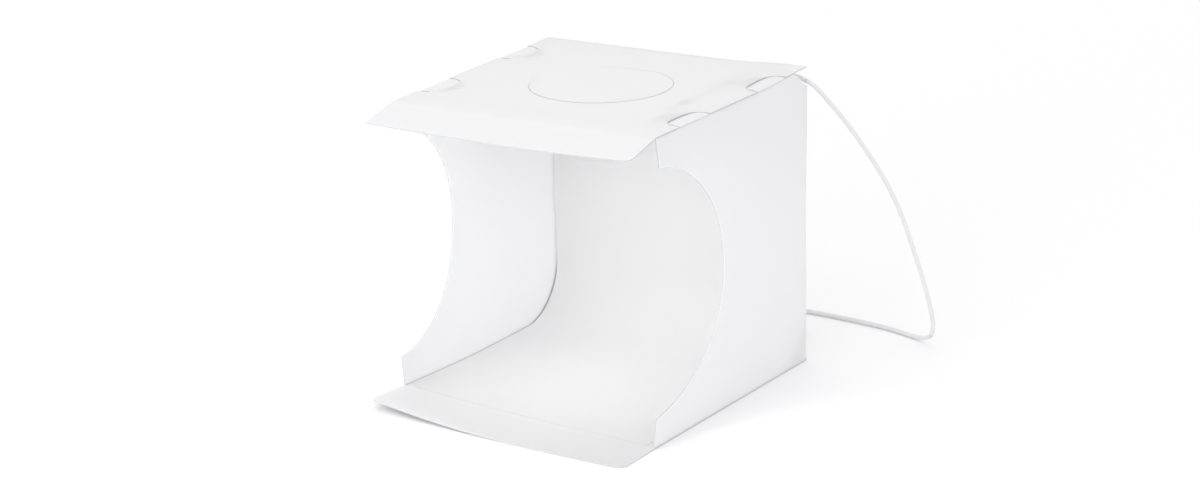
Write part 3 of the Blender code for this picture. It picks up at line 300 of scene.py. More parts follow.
def pvc_jacket():
    """Soft white PVC, extruded: a satin skin with a faint orange peel of about 1.5 mm, a little uneven in
    gloss."""
    made, tree, shader = finish_named("extruded_white_pvc", "#E4E4E6", 0.38, IOR=1.53, Subsurface_Weight=0.05)
    place = add(tree, "ShaderNodeTexCoord").outputs["Object"]
    peel = add(tree, "ShaderNodeTexNoise", [("Vector", place)], Scale=650.0, Detail=2.0)
    bump = add(tree, "ShaderNodeBump", [("Height", peel.outputs["Fac"])], Strength=0.15, Distance=0.0002)
    tree.links.new(bump.outputs["Normal"], shader.inputs["Normal"])
    patch = add(tree, "ShaderNodeTexNoise", [("Vector", place)], Scale=60.0, Detail=1.0)
    gloss = add(tree, "ShaderNodeMapRange", [("Value", patch.outputs["Fac"])], To_Min=0.32, To_Max=0.44)
    tree.links.new(gloss.outputs["Result"], shader.inputs["Roughness"])
    return made


jacket = pvc_jacket()
switch_nodes = [
    "switch_lower_shell",
    "switch_upper_shell",
    "switch_rocker",
    "switch_sleeve_in",
    "switch_sleeve_out",
    "switch_contact_in",
    "switch_contact_out",
]
plug_nodes = ["plug_grip", "plug_shell", "plug_tongue", "plug_contact_power", "plug_contact_ground"]
for piece, nodes in ((lead, ("power_cord", "cord_coil", "cord_to_switch")), (plug_lead, ("cord_to_plug",))):
    piece.data.materials.append(jacket)
    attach(piece, "back")
    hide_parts(*nodes)

# The die-cut sheet. The five panels, the flap and the tabs are one piece of 1 mm white polypropylene, creased
# where they fold, with a fine matt grain on both sides. Set up by hand, it leans a little out of square, the
# corner over the lead lifts, the floor's front left corner curls, and the panels ripple.
fold_radius = 0.0020
fold_steps = 6
panel_cells = 40
crisp_angle = math.radians(40)
lean_offsets = {
    (-1, -1, -1): (0.0008, 0.0010, 0),
    (1, -1, -1): (-0.0002, -0.0055, 0),
    (-1, 1, -1): (0, 0, 0),
    (1, 1, -1): (0.0044, -0.0004, 0),
    (-1, -1, 1): (0.0005, -0.0007, -0.0036),
    (1, -1, 1): (-0.0004, -0.0002, 0.0002),
    (-1, 1, 1): (-0.0032, -0.0026, -0.0018),
    (1, 1, 1): (0.0016, 0.0011, 0.0006),
}
corner_lift = 0.0030
corner_lift_reach = 0.075
curl_height = 0.0075
curl_from_x, curl_across = 0.030, 0.147
curl_from_y, curl_forward = 0.020, 0.156
ripple_height = 0.00035
side_ripple_y, side_ripple_z = 0.131, 0.173
end_ripple_x, end_ripple_z = 0.157, 0.149


def as_standing(points):
    """Where the points of a square box lie on the standing one. The eight corners' small shifts are mixed by
    the shares of width, depth and height. The corner over the lead lifts, the floor's front left corner curls
    up by the square of the way across and a power of the way forward, and slow waves are added."""
    points = np.asarray(points, float)
    x, y, z = points[..., 0], points[..., 1], points[..., 2]
    shares = (x / (2 * box_half_width) + 0.5, (y - front_crease_y) / box_depth, z / box_height)
    moved = points.copy()
    for sides, shift in lean_offsets.items():
        weight = np.prod([np.clip(s if side > 0 else 1 - s, 0, 1) for s, side in zip(shares, sides)], axis=0)
        moved += weight[..., None] * np.array(shift)
    height = np.clip(z / box_height, 0, 1)
    near = np.clip(1 - np.hypot(x - box_half_width, y - box_back_y) / corner_lift_reach, 0, 1)
    moved[..., 2] += corner_lift * near**2 * (3 - 2 * near) * height**6
    across = np.clip((curl_from_x - x) / curl_across, 0, 1)
    forward = np.clip((curl_from_y - y) / curl_forward, 0, 1)
    moved[..., 2] += curl_height * across**2 * forward**1.5 * (1 - height)
    swell = ripple_height * height * (1 - height) * 4
    moved[..., 0] += swell * np.sin(2 * math.pi * (y / side_ripple_y + z / side_ripple_z))
    moved[..., 1] += swell * np.sin(2 * math.pi * (x / end_ripple_x + z / end_ripple_z))
    return moved


# Light passes into the sheet and the film and out of the other face, the same for every colour.
lets_light_through = {"Subsurface_Weight": 1.0, "Subsurface_Radius": (1.0, 1.0, 1.0)}


def polypropylene():
    """Extruded polypropylene with a matt grain: white and soft satin, and a little light comes through it.
    Its grain is 0.3 mm in fact and drawn at 0.7 mm so that it shows, and rollers leave an unevenness some
    40 mm across."""
    passing = {"Subsurface_Scale": 0.0021, **lets_light_through}
    made, tree, shader = finish_named("matt_white_polypropylene", "#DFDFE0", 0.5, IOR=1.49, **passing)
    place = add(tree, "ShaderNodeTexCoord").outputs["Object"]
    grain = add(tree, "ShaderNodeTexNoise", [("Vector", place)], Scale=1400.0, Detail=3.0, Roughness=0.6)
    slow = add(tree, "ShaderNodeTexNoise", [("Vector", place)], Scale=24.0, Detail=2.0)
    fine = add(tree, "ShaderNodeBump", [("Height", grain.outputs["Fac"])], Strength=0.25, Distance=0.0001)
    links = [("Height", slow.outputs["Fac"]), ("Normal", fine.outputs["Normal"])]
    wide = add(tree, "ShaderNodeBump", links, Strength=0.25, Distance=0.002)
    tree.links.new(wide.outputs["Normal"], shader.inputs["Normal"])
    gloss = add(tree, "ShaderNodeMapRange", [("Value", slow.outputs["Fac"])], To_Min=0.42, To_Max=0.58)
    tree.links.new(gloss.outputs["Result"], shader.inputs["Roughness"])
    return made


sheet_plastic = polypropylene()
# The die-cut edges are rough, and their grey is painted shade that draws the sheet's edges as thin dark
# lines.
cut_edge_painted_shade = finish_named("die_cut_polypropylene_edge_painted_shade", "#CBCBD0", 0.7, IOR=1.49)[0]


def cut_sheet(name, *patches, outwards, nodes=(), body=None, fold=None, thickness=sheet_thickness):
    """A panel of the sheet: its outer face over the patches, moved to where it stands, with its thickness on
    the inner side. It rides on a body, or, given a fold (first body, second body, start, end), is fixed where
    it stands on no body; the fold's bodies and ends are not used."""
    stood = [(as_standing(p[0]), p[1]) if isinstance(p, tuple) else as_standing(p) for p in patches]
    piece = surface(name, *stood, outwards=outwards)
    wall = piece.modifiers.new("thickness", "SOLIDIFY")
    wall.thickness = thickness
    wall.offset = -1
    wall.material_offset_rim = 1
    piece.modifiers.new("crisp_edges", "EDGE_SPLIT").split_angle = crisp_angle
    piece.data.materials.append(sheet_plastic)
    piece.data.materials.append(cut_edge_painted_shade)
    if nodes:
        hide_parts(*nodes)
    if fold:
        first, second, start, end = fold
        tuple(as_standing(start))
        tuple(as_standing(end))
        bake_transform(piece)
    else:
        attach(piece, body)
    return piece


def fold_round(corner, first_way, second_way):
    """Points round a fold of the sheet's outer face, from one panel's end to the next one's start: the corner
    between them is cut by a curve whose ends lie in the panels, a fold's radius away along the two ways."""
    share = np.linspace(0, 1, fold_steps + 1)[:, None]
    corner, first_way, second_way = (np.array(v, float) for v in (corner, first_way, second_way))
    near, far = corner + fold_radius * first_way, corner + fold_radius * second_way
    return (1 - share) ** 2 * near + 2 * share * (1 - share) * corner + share**2 * far


def stretches(*parts):
    """Grid lines in stretches: for each (from, to, cells), evenly spaced, with shared ends given once."""
    rows = [np.linspace(start, end, cells + 1) for start, end, cells in parts]
    return np.concatenate([rows[0]] + [row[1:] for row in rows[1:]])


# The back panel, upright, on which all the others are creased. A nearly square hole for the lead is cut out
# of its top right corner. The edges of cells are told apart by a length far below any cell's.
hole_drop = 0.015
hole_back_run = 0.014
hole_foot = box_height - hole_drop
hole_x = box_half_width - hole_back_run
hole_cells = 5
same_place = 1e-6
beside_hole = (-box_half_width + fold_radius, hole_x, panel_cells)
x_lines = stretches(beside_hole, (hole_x, box_half_width - fold_radius, hole_cells))
below_hole = (fold_radius, hole_foot, panel_cells)
z_lines = stretches(below_hole, (hole_foot, box_height - fold_radius, hole_cells))
z, x = np.meshgrid(z_lines, x_lines, indexing="ij")
keep = ~((z[:-1, :-1] > hole_foot - same_place) & (x[:-1, :-1] > hole_x - same_place))
back_grid = np.stack([x, np.full_like(x, box_back_y), z], axis=-1)
cut_sheet("back_sheet", (back_grid, keep), outwards=(0, 1, 0), nodes=("back_panel",), body="back")

# The floor panel, flat on the table, creased to the back's lower edge, running on in front of the walls as a
# lip with a bowed front edge and round corners.
lip_length = 0.0435
lip_bow = 0.0035
lip_corners = (0.0055, 0.0085)
lip_corner_cells = 8
lip_from = 0.84
lip_cells = 14


def bowed_edge(x, half_width, length, bow, corners):
    """How far a lip reaches at x: its length plus a shallow bow that is greatest in the middle, less what a
    round corner takes away within a corner's radius of each side, left and right."""
    corner = np.where(x < 0, corners[0], corners[1])
    middle = half_width - corner
    over = np.clip(np.abs(x) - middle, 0, corner)
    return length + bow * np.clip(1 - (x / middle) ** 2, 0, 1) - corner + np.sqrt(corner**2 - over**2)


def edge_lines(half_width, corners, cells, corner_cells):
    """Lines across a lip, closer together where its corners turn: equal angles round each corner."""
    angle = np.linspace(0, math.pi / 2, corner_cells + 1)
    left, right = (half_width - corner + corner * np.sin(angle) for corner in corners)
    middle = np.linspace(-left[0], right[0], cells + 1)
    return np.concatenate([-left[::-1], middle[1:-1], right])


x_lines = edge_lines(box_half_width, lip_corners, panel_cells, lip_corner_cells)
reach = bowed_edge(x_lines, box_half_width, lip_length, lip_bow, lip_corners)
round_floor = fold_round((0, box_back_y, 0), (0, 0, 1), (0, -1, 0))
share = stretches((0, lip_from, panel_cells), (lip_from, 1, lip_cells))[1:, None]
y = round_floor[-1, 1] + share * (front_crease_y - reach - round_floor[-1, 1])
y = np.concatenate([np.broadcast_to(round_floor[:, 1:2], (fold_steps + 1, len(x_lines))), y])
z = np.zeros_like(y)
z[: fold_steps + 1] = round_floor[:, 2:3]
floor_grid = np.stack([np.broadcast_to(x_lines, y.shape), y, z], axis=-1)
fold = ("back", "floor", (0, box_back_y, fold_radius), (0, box_back_y - fold_radius, 0))
cut_sheet("floor_sheet", floor_grid, outwards=(0, 0, -1), nodes=("floor_panel",), fold=fold)

# The side walls, creased to the back's sides. Each has a half-round cut in its front edge, for light from the
# side, and bellies outwards between the floor and the top. A corner of the right one is cut for the lead.
wall_setback = 0.0015
wall_foot_gap = 0.00005
wall_top_gap = 0.0001
wall_foot = sheet_thickness + wall_foot_gap
wall_top = box_height - sheet_thickness - wall_top_gap
cut_depth = 0.0865
cut_above_floor = 0.0244
cut_below_top = 0.0228
cut_slant = {-1: 0.0062, 1: 0.0015}
stub_setback_share = {-1: 0.8, 1: 0.0}
cut_half_span = (box_height - cut_above_floor - cut_below_top) / 2
cut_radius = (cut_depth**2 + cut_half_span**2) / (2 * cut_depth)
cut_centre_y = front_crease_y + wall_setback + cut_depth - cut_radius
cut_centre_z = cut_above_floor + cut_half_span
hole_wall_run = 0.022
wall_front = front_crease_y + wall_setback
wall_belly = 0.0075
wall_pillow = {-1: 0.0064, 1: 0.0048}
wall_cells = 32
wall_cut_cells = 72


def wall_front_edge(side):
    """The front edge of a wall from its foot to its top, as y and z: straight up, round the circle of the cut
    in equal angles, and up the slanting top stub, with a line at the height of the lead's hole. The left stub
    starts further back, clear of the flap when it hangs down."""
    slant = cut_slant[side]
    low = -math.acos((wall_front - cut_centre_y) / cut_radius)
    high = math.acos((wall_front + slant - cut_centre_y) / cut_radius)
    angle = np.linspace(low, high, wall_cut_cells + 1)
    foot = np.linspace(wall_foot, cut_centre_z + cut_radius * math.sin(low), 7)[:-1]
    stub = stretches((cut_centre_z + cut_radius * math.sin(high), hole_foot, 4), (hole_foot, wall_top, 6))
    down = (wall_top - stub) / (wall_top - stub[0])
    y_stub = wall_front + slant * np.minimum(1, stub_setback_share[side] + down)
    y_cut, cut = cut_centre_y + cut_radius * np.cos(angle), cut_centre_z + cut_radius * np.sin(angle)
    y = np.concatenate([np.full_like(foot, wall_front), y_cut, y_stub[1:]])
    return y, np.concatenate([foot, cut, stub[1:]])


def wall_bulge(side, y, rise):
    """How far a wall stands out at y and at a share of its height: by a belly that grows as the square of
    the way forward and a pillow that is a half wave of the way forward, both times a half wave of the
    height."""
    forward = np.clip((box_back_y - y) / box_depth, 0, 1)
    out = wall_belly * forward**2 + wall_pillow[side] * np.sin(math.pi * forward)
    return out * np.sin(math.pi * rise)


def wall_grid(side, hole):
    """A wall's outer face: at each height of the front edge, points from that edge back to the crease and
    round it, standing out by the wall's bulge. At the lead's hole the rear end slants forward and the fold is
    left out."""
    front, z = wall_front_edge(side)
    cut = np.clip((z - hole_foot) / (wall_top - hole_foot), 0, 1) * hole
    rear = box_back_y - fold_radius - (hole_wall_run - fold_radius) * cut
    y = front[:, None] + np.linspace(0, 1, wall_cells + 1) * (rear - front)[:, None]
    z = np.broadcast_to(z[:, None], y.shape)
    out = wall_bulge(side, y, np.clip((z - wall_foot) / (wall_top - wall_foot), 0, 1))
    turn = fold_round((box_half_width, box_back_y, 0), (0, -1, 0), (-1, 0, 0))[1:]
    x = np.concatenate([box_half_width + out, np.broadcast_to(turn[:, 0], (len(z), fold_steps))], axis=1)
    y = np.concatenate([y, np.broadcast_to(turn[:, 1], (len(z), fold_steps))], axis=1)
    z = np.concatenate([z, np.broadcast_to(z[:, :1], (len(z), fold_steps))], axis=1)
    keep = np.ones((y.shape[0] - 1, y.shape[1] - 1), bool)
    keep[:, -fold_steps:] = (z[:-1, :1] < hole_foot - same_place) | (not hole)
    return np.stack([side * x, y, z], axis=-1), keep


# A wall's two half-moon tabs rise in its plane, bend over the top's edge through a notch and tuck in under
# the top, which is what holds the box square. They are pressed a little thinner than the rest.
tab_inset = 0.056
tab_places = (tab_inset, box_depth - tab_inset)
tab_half_length = 0.0205
tab_reach = 0.0265
tab_bend = 0.0014
tab_thickness = 0.0008
tab_crease_drop = 0.0004
tab_crease_z = box_height - tab_crease_drop
tab_bulge = 0.0009
tab_tuck_run = 0.0160
tab_tuck_gap = 0.0003
tab_tuck_z = box_height - sheet_thickness - tab_tuck_gap
tab_tip_drop = 0.0010


def tab_grid(side, place):
    """A tab's upper face. Its path rises from the wall's top edge, turns a quarter round inwards at a pressed
    crease, bulges up in a low half wave, slopes down to just under the top panel and on to its tip, and its
    half length shrinks as an ellipse's does."""
    turn = np.linspace(math.pi, math.pi / 2, 7)
    run = np.concatenate([[0], tab_bend + tab_bend * np.cos(turn)])
    height = np.concatenate([[wall_top - tab_bend], tab_crease_z - tab_bend + tab_bend * np.sin(turn)])
    onward = tab_bend + (tab_reach - tab_bend) * np.sin(np.linspace(0, math.pi / 2, 25)[1:])
    eased = np.clip((onward - tab_bend) / (tab_tuck_run - tab_bend), 0, 1)
    rise = tab_bulge * np.sin(math.pi * eased) - (tab_crease_z - tab_tuck_z) * eased**2 * (3 - 2 * eased)
    rise = rise - tab_tip_drop * np.clip((onward - tab_tuck_run) / (tab_reach - tab_tuck_run), 0, 1)
    run, height = np.concatenate([run, onward]), np.concatenate([height, tab_crease_z + rise])
    half = tab_half_length * np.sqrt(np.clip(1 - (run / tab_reach) ** 2, 0, 1))
    y = front_crease_y + place + half[:, None] * np.linspace(-1, 1, 17)
    x = side * (box_half_width - np.broadcast_to(run[:, None], y.shape))
    return np.stack([x, y, np.broadcast_to(height[:, None], y.shape)], axis=-1)


for word, side, hole in (("left", -1, False), ("right", 1, True)):
    wall = f"{word}_wall"
    start = (side * box_half_width, box_back_y - fold_radius, cut_centre_z)
    end = (side * (box_half_width - fold_radius), box_back_y, cut_centre_z)
    fold = (wall, "back", start, end)
    nodes = (f"{word}_side_wall",)
    cut_sheet(f"{wall}_sheet", wall_grid(side, hole), outwards=(side, 0, 0), nodes=nodes, fold=fold)
    for number, place in enumerate(tab_places, 1):
        name = f"{wall}_tab_{number}"
        grid = tab_grid(side, place)
        cut_sheet(name, grid, outwards=(side, 0, 1), body=wall, thickness=tab_thickness)

# The top panel, with a notch over each tab and a round opening that the hatch fills, and the flap on its
# front crease. The flap droops by its own weight and shades the light bar from the camera.
hatch_radius = 0.0555
hatch_crease = 0.036
half_depth = box_depth / 2
hatch_centre_y = front_crease_y + half_depth
hatch_chord = math.sqrt(hatch_radius**2 - (hatch_crease / 2) ** 2)
hatch_crease_y = hatch_centre_y + hatch_chord
notch_half_length = 0.0225
notch_reach = 0.0162
notch_power = 3.0
strip_width = 0.0245
ring_half = box_half_width - strip_width
strip_share = np.sin(np.linspace(0, math.pi / 2, 15))
kerf = 0.00018
top_front = -half_depth + fold_radius
top_rear = half_depth - fold_radius
notch_places = (-half_depth + tab_inset, half_depth - tab_inset)


def round_hatch(angle, radius, chord):
    """A circle with a straight rear edge, by the angle about its centre: the radius, or less where the
    straight edge comes first."""
    rise = np.sin(angle)
    straight = chord / np.where(rise > 0, rise, 1)
    return np.minimum(radius, np.where(rise > 0, straight, radius))


def side_edge(y):
    """How far the top reaches sideways at y: its half width, less half a squarish oval at each notch."""
    away = np.minimum(*(np.abs(y - place) for place in notch_places)) / notch_half_length
    return box_half_width - notch_reach * np.clip(1 - away**notch_power, 0, 1) ** (1 / notch_power)


def top_patches():
    """The top's face about the hatch's centre. A ring of straight lines runs from the hatch's outline to a
    rectangle that clears the notches, with the rectangle's corners at a chosen turn of the ring, and a strip
    on each side runs on from there to the notched edge."""
    corner_turn = 50
    turn = np.sin(np.linspace(-math.pi / 2, math.pi / 2, 25)) * notch_half_length
    low, high = notch_places
    side_y = np.concatenate(
        [
            np.linspace(top_front, low - notch_half_length, 7)[:-1],
            low + turn,
            np.linspace(low + notch_half_length, high - notch_half_length, 11)[1:-1],
            high + turn,
            np.linspace(high + notch_half_length, top_rear, 7)[1:],
        ]
    )
    front_x = np.linspace(0, ring_half, 21)[:-1]
    rim_x = np.concatenate([front_x, np.full_like(side_y, ring_half), front_x[::-1]])
    rim_y = np.concatenate([np.full_like(front_x, top_front), side_y, np.full_like(front_x, top_rear)])
    angle = np.concatenate(
        [
            np.linspace(-90, -corner_turn, 21)[:-1],
            corner_turn * (2 * (side_y - top_front) / (top_rear - top_front) - 1),
            np.linspace(corner_turn, 90, 21)[1:],
        ]
    )
    angle = np.radians(angle)
    rim_x, rim_y = np.concatenate([rim_x, -rim_x[-2::-1]]), np.concatenate([rim_y, rim_y[-2::-1]])
    angle = np.concatenate([angle, math.pi - angle[-2::-1]])
    out = round_hatch(angle, hatch_radius, hatch_chord)
    share = np.linspace(0, 1, 13)[:, None]
    x = out * np.cos(angle) + share * (rim_x - out * np.cos(angle))
    y = hatch_centre_y + out * np.sin(angle) + share * (rim_y - out * np.sin(angle))
    ring = np.stack([x, y, np.full_like(x, box_height)], axis=-1)
    outer = ring_half + strip_share[:, None] * (side_edge(side_y) - ring_half)
    strip = np.stack(np.broadcast_arrays(outer, hatch_centre_y + side_y, box_height), axis=-1)
    return [ring, strip, strip * (-1, 1, 1)]


flap_length = 0.036
flap_bow = 0.005
flap_corners = (0.002, 0.006)
flap_droop = math.radians(14)
flap_curl = 0.0012
strip_x = ring_half + strip_share * (box_half_width - ring_half)
x_lines = np.linspace(0, ring_half, 21)
x_lines = np.concatenate([-strip_x[:0:-1], -x_lines[:0:-1], x_lines, strip_x[1:]])
reach = bowed_edge(x_lines, box_half_width, flap_length, flap_bow, flap_corners)
flap_way = (0, -math.cos(flap_droop), -math.sin(flap_droop))
round_flap = fold_round((0, front_crease_y, box_height), (0, 1, 0), flap_way)
share = np.linspace(0, 1, 17)[1:, None]
run = fold_radius + share * (reach - fold_radius)
curl = flap_curl * share**2 * np.cos(math.pi * x_lines / (2 * box_half_width))
y, z = front_crease_y + run * flap_way[1], box_height + run * flap_way[2] + curl
rounds = [np.broadcast_to(round_flap[:, axis, None], (fold_steps + 1, len(x_lines))) for axis in (1, 2)]
y, z = np.concatenate([rounds[0], y]), np.concatenate([rounds[1], z])
flap_grid = np.stack([np.broadcast_to(x_lines, y.shape), y, z], axis=-1)
fold = ("top", "flap", tuple(round_flap[0]), tuple(round_flap[-1]))
cut_sheet(
    "top_and_flap_sheet",
    *top_patches(),
    flap_grid,
    outwards=(0, 0, 1),
    nodes=("top_panel", "front_flap"),
    fold=fold,
)

# The crease between the top and the back: a narrow round strip of the same sheet, up to the lead's hole.
round_top = fold_round((0, box_back_y, box_height), (0, -1, 0), (0, 0, -1))
x_lines = np.linspace(-box_half_width, hole_x, panel_cells + 1)
crease_grid = np.stack(np.broadcast_arrays(x_lines, round_top[:, 1:2], round_top[:, 2:3]), axis=-1)
fold = ("top", "back", tuple(round_top[0]), tuple(round_top[-1]))
cut_sheet("top_crease_sheet", crease_grid, outwards=(0, 1, 1), fold=fold)

# The round hatch, cut free all round but for a short crease at its rear. It lies a hair proud at its front,
# and goods are photographed through it from above.
hatch_proud = 0.0003
angle = np.linspace(-math.pi / 2, 1.5 * math.pi, 145)
angle[-1] = angle[0]
share = np.linspace(0, 1, 13)[:, None]
reach = round_hatch(angle, hatch_radius - kerf, hatch_chord - kerf)
x = share * reach * np.cos(angle)
y = hatch_centre_y + share * reach * np.sin(angle)
proud = hatch_proud * (hatch_crease_y - y) / (2 * hatch_radius)
hatch_grid = np.stack([x, y, box_height + proud], axis=-1)
cut_sheet("hatch_sheet", hatch_grid, outwards=(0, 0, 1), nodes=("top_hatch",), body="hatch")

# The backdrop, a thinner and softer white film, laid on the floor, swept up in a quarter round and leaned
# against the back, so that no corner shows behind the goods. It follows the left wall, bulge and all, and
# stops a little short of the right one.
backdrop_left_gap = 0.0012
backdrop_right_gap = 0.0077
backdrop_under_gap = 0.00004
backdrop_back_gap = 0.0008
backdrop_front_inset = 0.004
backdrop_top_drop = 0.016
backdrop_bulge_share = 0.8
backdrop_thickness = 0.0002
backdrop_sweep = 0.050
backdrop_left = box_half_width - sheet_thickness - backdrop_left_gap
backdrop_right = box_half_width - sheet_thickness - backdrop_right_gap
backdrop_front_y = front_crease_y + backdrop_front_inset
backdrop_under = sheet_thickness + backdrop_under_gap
backdrop_behind = box_back_y - sheet_thickness - backdrop_back_gap
backdrop_top = box_height - backdrop_top_drop
sweep_y, sweep_z = backdrop_behind - backdrop_sweep, backdrop_under + backdrop_sweep
inside = backdrop_sweep - backdrop_thickness
flat = np.linspace(backdrop_front_y, sweep_y, 25)[:-1]
turn = np.linspace(0, math.pi / 2, 21)
upright = np.linspace(sweep_z, backdrop_top, 25)[1:]
y = np.concatenate([flat, sweep_y + inside * np.sin(turn), np.full_like(upright, sweep_y + inside)])
z = np.concatenate([np.full_like(flat, sweep_z - inside), sweep_z - inside * np.cos(turn), upright])
left = backdrop_left + backdrop_bulge_share * wall_bulge(1, y, z / box_height)[:, None]
x = (backdrop_right + left) * np.linspace(0, 1, 33) - left
grid = np.stack(np.broadcast_arrays(x, y[:, None], z[:, None]), axis=-1)


def backdrop_film():
    """Calendered PVC film, dead matt and a touch whiter than the box. Its grain is very fine in fact, and is
    drawn coarser so that it shows."""
    passing = {"Subsurface_Scale": 0.00085, **lets_light_through}
    made, tree, shader = finish_named("calendered_white_pvc", "#F2F2F3", 0.72, IOR=1.53, **passing)
    place = add(tree, "ShaderNodeTexCoord").outputs["Object"]
    grain = add(tree, "ShaderNodeTexNoise", [("Vector", place)], Scale=1700.0, Detail=2.0)
    bump = add(tree, "ShaderNodeBump", [("Height", grain.outputs["Fac"])], Strength=0.15, Distance=0.0001)
    tree.links.new(bump.outputs["Normal"], shader.inputs["Normal"])
    return made


backdrop = surface("backdrop_film", as_standing(grid), outwards=(0, -1, 1))
film = backdrop.modifiers.new("thickness", "SOLIDIFY")
film.thickness = backdrop_thickness
film.offset = -1
backdrop.modifiers.new("crisp_edges", "EDGE_SPLIT").split_angle = crisp_angle
backdrop.data.materials.append(backdrop_film())
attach(backdrop, "backdrop")
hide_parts("backdrop_sheet")

# The lead's short stretch through the hole, fixed where it stands, and its run under the top to the light
# bar. Both are the same soft jacket, and the run hangs from the standing top.
inner_meet = hole_corner + (-0.0193, -0.0124, -0.0041)
inner_way = np.array([0.0050, 0.0072, -0.0004])
bend_knots = np.concatenate(
    [
        run_ends(inner_meet, inner_way, 1),
        hole_corner + np.array([(-0.0143, -0.0060, -0.0047), (-0.0104, -0.0021, -0.0052)]),
        run_ends(hole_meet, hole_way, -1)[::-1],
    ]
)
bend_step = 0.001
bend_path = smooth_run(bend_knots, bend_step)
share = np.linspace(1, 0, len(bend_path))[:, None]
bend_path = bend_path + (as_standing(bend_path) - bend_path) * share**2 * (3 - 2 * share)
bend = surface("lead_through_hole", swept(bend_path))
bend.data.materials.append(jacket)
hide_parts("lead_bend")
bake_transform(bend)

ceiling_lead_z = 0.2358
board_inset = 0.022
board_y = front_crease_y + board_inset
rear_route = [(-0.0240, -0.0202, -0.0034), (-0.0302, -0.0350, -0.0032), (-0.0328, -0.0520, -0.0032)]
front_route = [
    (-0.0326, 0.0500, -0.0032),
    (-0.0298, 0.0330, -0.0032),
    (-0.0265, 0.0230, -0.0032),
    (-0.0235, 0.0160, -0.0032),
]
inner_knots = np.concatenate(
    [
        run_ends(inner_meet, inner_way, -1),
        hole_corner + np.array(rear_route),
        [(0.084, y, ceiling_lead_z) for y in (0.074, 0.040, 0.006)],
        np.array([box_half_width, board_y, hole_corner[2]]) + np.array(front_route),
    ]
)
inner_path = as_standing(smooth_run(inner_knots, lead_step))
inner = surface("lead_under_top", swept(inner_path))
inner.data.materials.append(jacket)
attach(inner, "top")
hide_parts("lead_inner")

# The light bar under the top, behind the flap: foam tape, a strip of circuit board with a white solder mask,
# twenty surface-mounted LEDs in white frames with yellow phosphor, and four resistors.
copy_crisp_angle = math.radians(32)


def standing_copy(name, finishes, faces_of=None):
    """A CAD solid's shape, moved to where the standing top carries it, as a piece that replaces the solid. A
    function of the faces' middles and normals may say which finish each face has."""
    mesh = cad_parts[name].data.copy()
    shell = bmesh.new()
    shell.from_mesh(mesh)
    bmesh.ops.remove_doubles(shell, verts=shell.verts, dist=1e-6)
    shell.to_mesh(mesh)
    shell.free()
    mesh.materials.clear()
    for finish in finishes:
        mesh.materials.append(finish)
    middles, normals = (np.empty(3 * len(mesh.polygons), np.float32) for _ in range(2))
    mesh.polygons.foreach_get("center", middles)
    mesh.polygons.foreach_get("normal", normals)
    chosen = np.zeros(len(mesh.polygons), np.int32)
    if faces_of:
        chosen = faces_of(middles.reshape(-1, 3), normals.reshape(-1, 3)).astype(np.int32)
    mesh.polygons.foreach_set("material_index", chosen)
    points = np.empty(3 * len(mesh.vertices), np.float32)
    mesh.vertices.foreach_get("co", points)
    mesh.vertices.foreach_set("co", as_standing(points.reshape(-1, 3)).astype(np.float32).ravel())
    mesh.shade_smooth()
    mesh.set_sharp_from_angle(angle=copy_crisp_angle)
    piece = bpy.data.objects.new("standing_" + name, mesh)
    bpy.context.scene.collection.objects.link(piece)
    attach(piece, "top")
    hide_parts(name)


def plain_finish(name, colour, roughness, uneven, depth, **settings):
    """A moulded, printed or stamped finish with a fine unevenness: its size in millimetres and its depth."""
    made, tree, shader = finish_named(name, colour, roughness, **settings)
    place = add(tree, "ShaderNodeTexCoord").outputs["Object"]
    noise = add(tree, "ShaderNodeTexNoise", [("Vector", place)], Scale=1000 / uneven, Detail=2.0)
    bump = add(tree, "ShaderNodeBump", [("Height", noise.outputs["Fac"])], Strength=0.3, Distance=depth)
    tree.links.new(bump.outputs["Normal"], shader.inputs["Normal"])
    spread = [("Value", noise.outputs["Fac"])]
    gloss = add(tree, "ShaderNodeMapRange", spread, To_Min=roughness - 0.06, To_Max=roughness + 0.06)
    tree.links.new(gloss.outputs["Result"], shader.inputs["Roughness"])
    return made


def phosphor_faces(middles, normals):
    """True for an LED's faces that look down, but for its lowest ones, which are its frame's rim."""
    return (normals[:, 2] < -0.9) & (middles[:, 2] > middles[:, 2].min() + 0.0001)


# Foam tape is white with a coarse open grain, and has a painted glow that lifts the shade the bar would cast
# through the thin top sheet above it. Solder mask is a smooth glossy print. An LED's frame is a bright white
# ceramic-filled moulding, and its phosphor a soft yellow silicone that glows faintly.
foam_tape_painted_glow = plain_finish("white_acrylic_foam_tape_painted_glow", "#EDEDEB", 0.75, 1.0, 0.0001, Emission_Strength=0.45)
solder_mask = plain_finish("white_solder_mask", "#ECEEED", 0.30, 2.5, 0.00003)
led_frame = plain_finish("white_led_moulding", "#F0F0EE", 0.35, 0.5, 0.00002)
phosphor_glow = {"Emission_Color": linear("#FFF6E0"), "Emission_Strength": 0.35}
phosphor = plain_finish("yellow_silicone_phosphor", "#F0DC8C", 0.40, 0.4, 0.00003, **phosphor_glow)
resistor_epoxy = plain_finish("black_epoxy_film", "#26262A", 0.45, 0.4, 0.00002)
standing_copy("led_board_tape", [foam_tape_painted_glow])
standing_copy("led_board", [solder_mask])
for number in range(1, 21):
    standing_copy(f"led_{number:02d}", [led_frame, phosphor], phosphor_faces)
for number in range(1, 5):
    standing_copy(f"led_resistor_{number}", [resistor_epoxy])

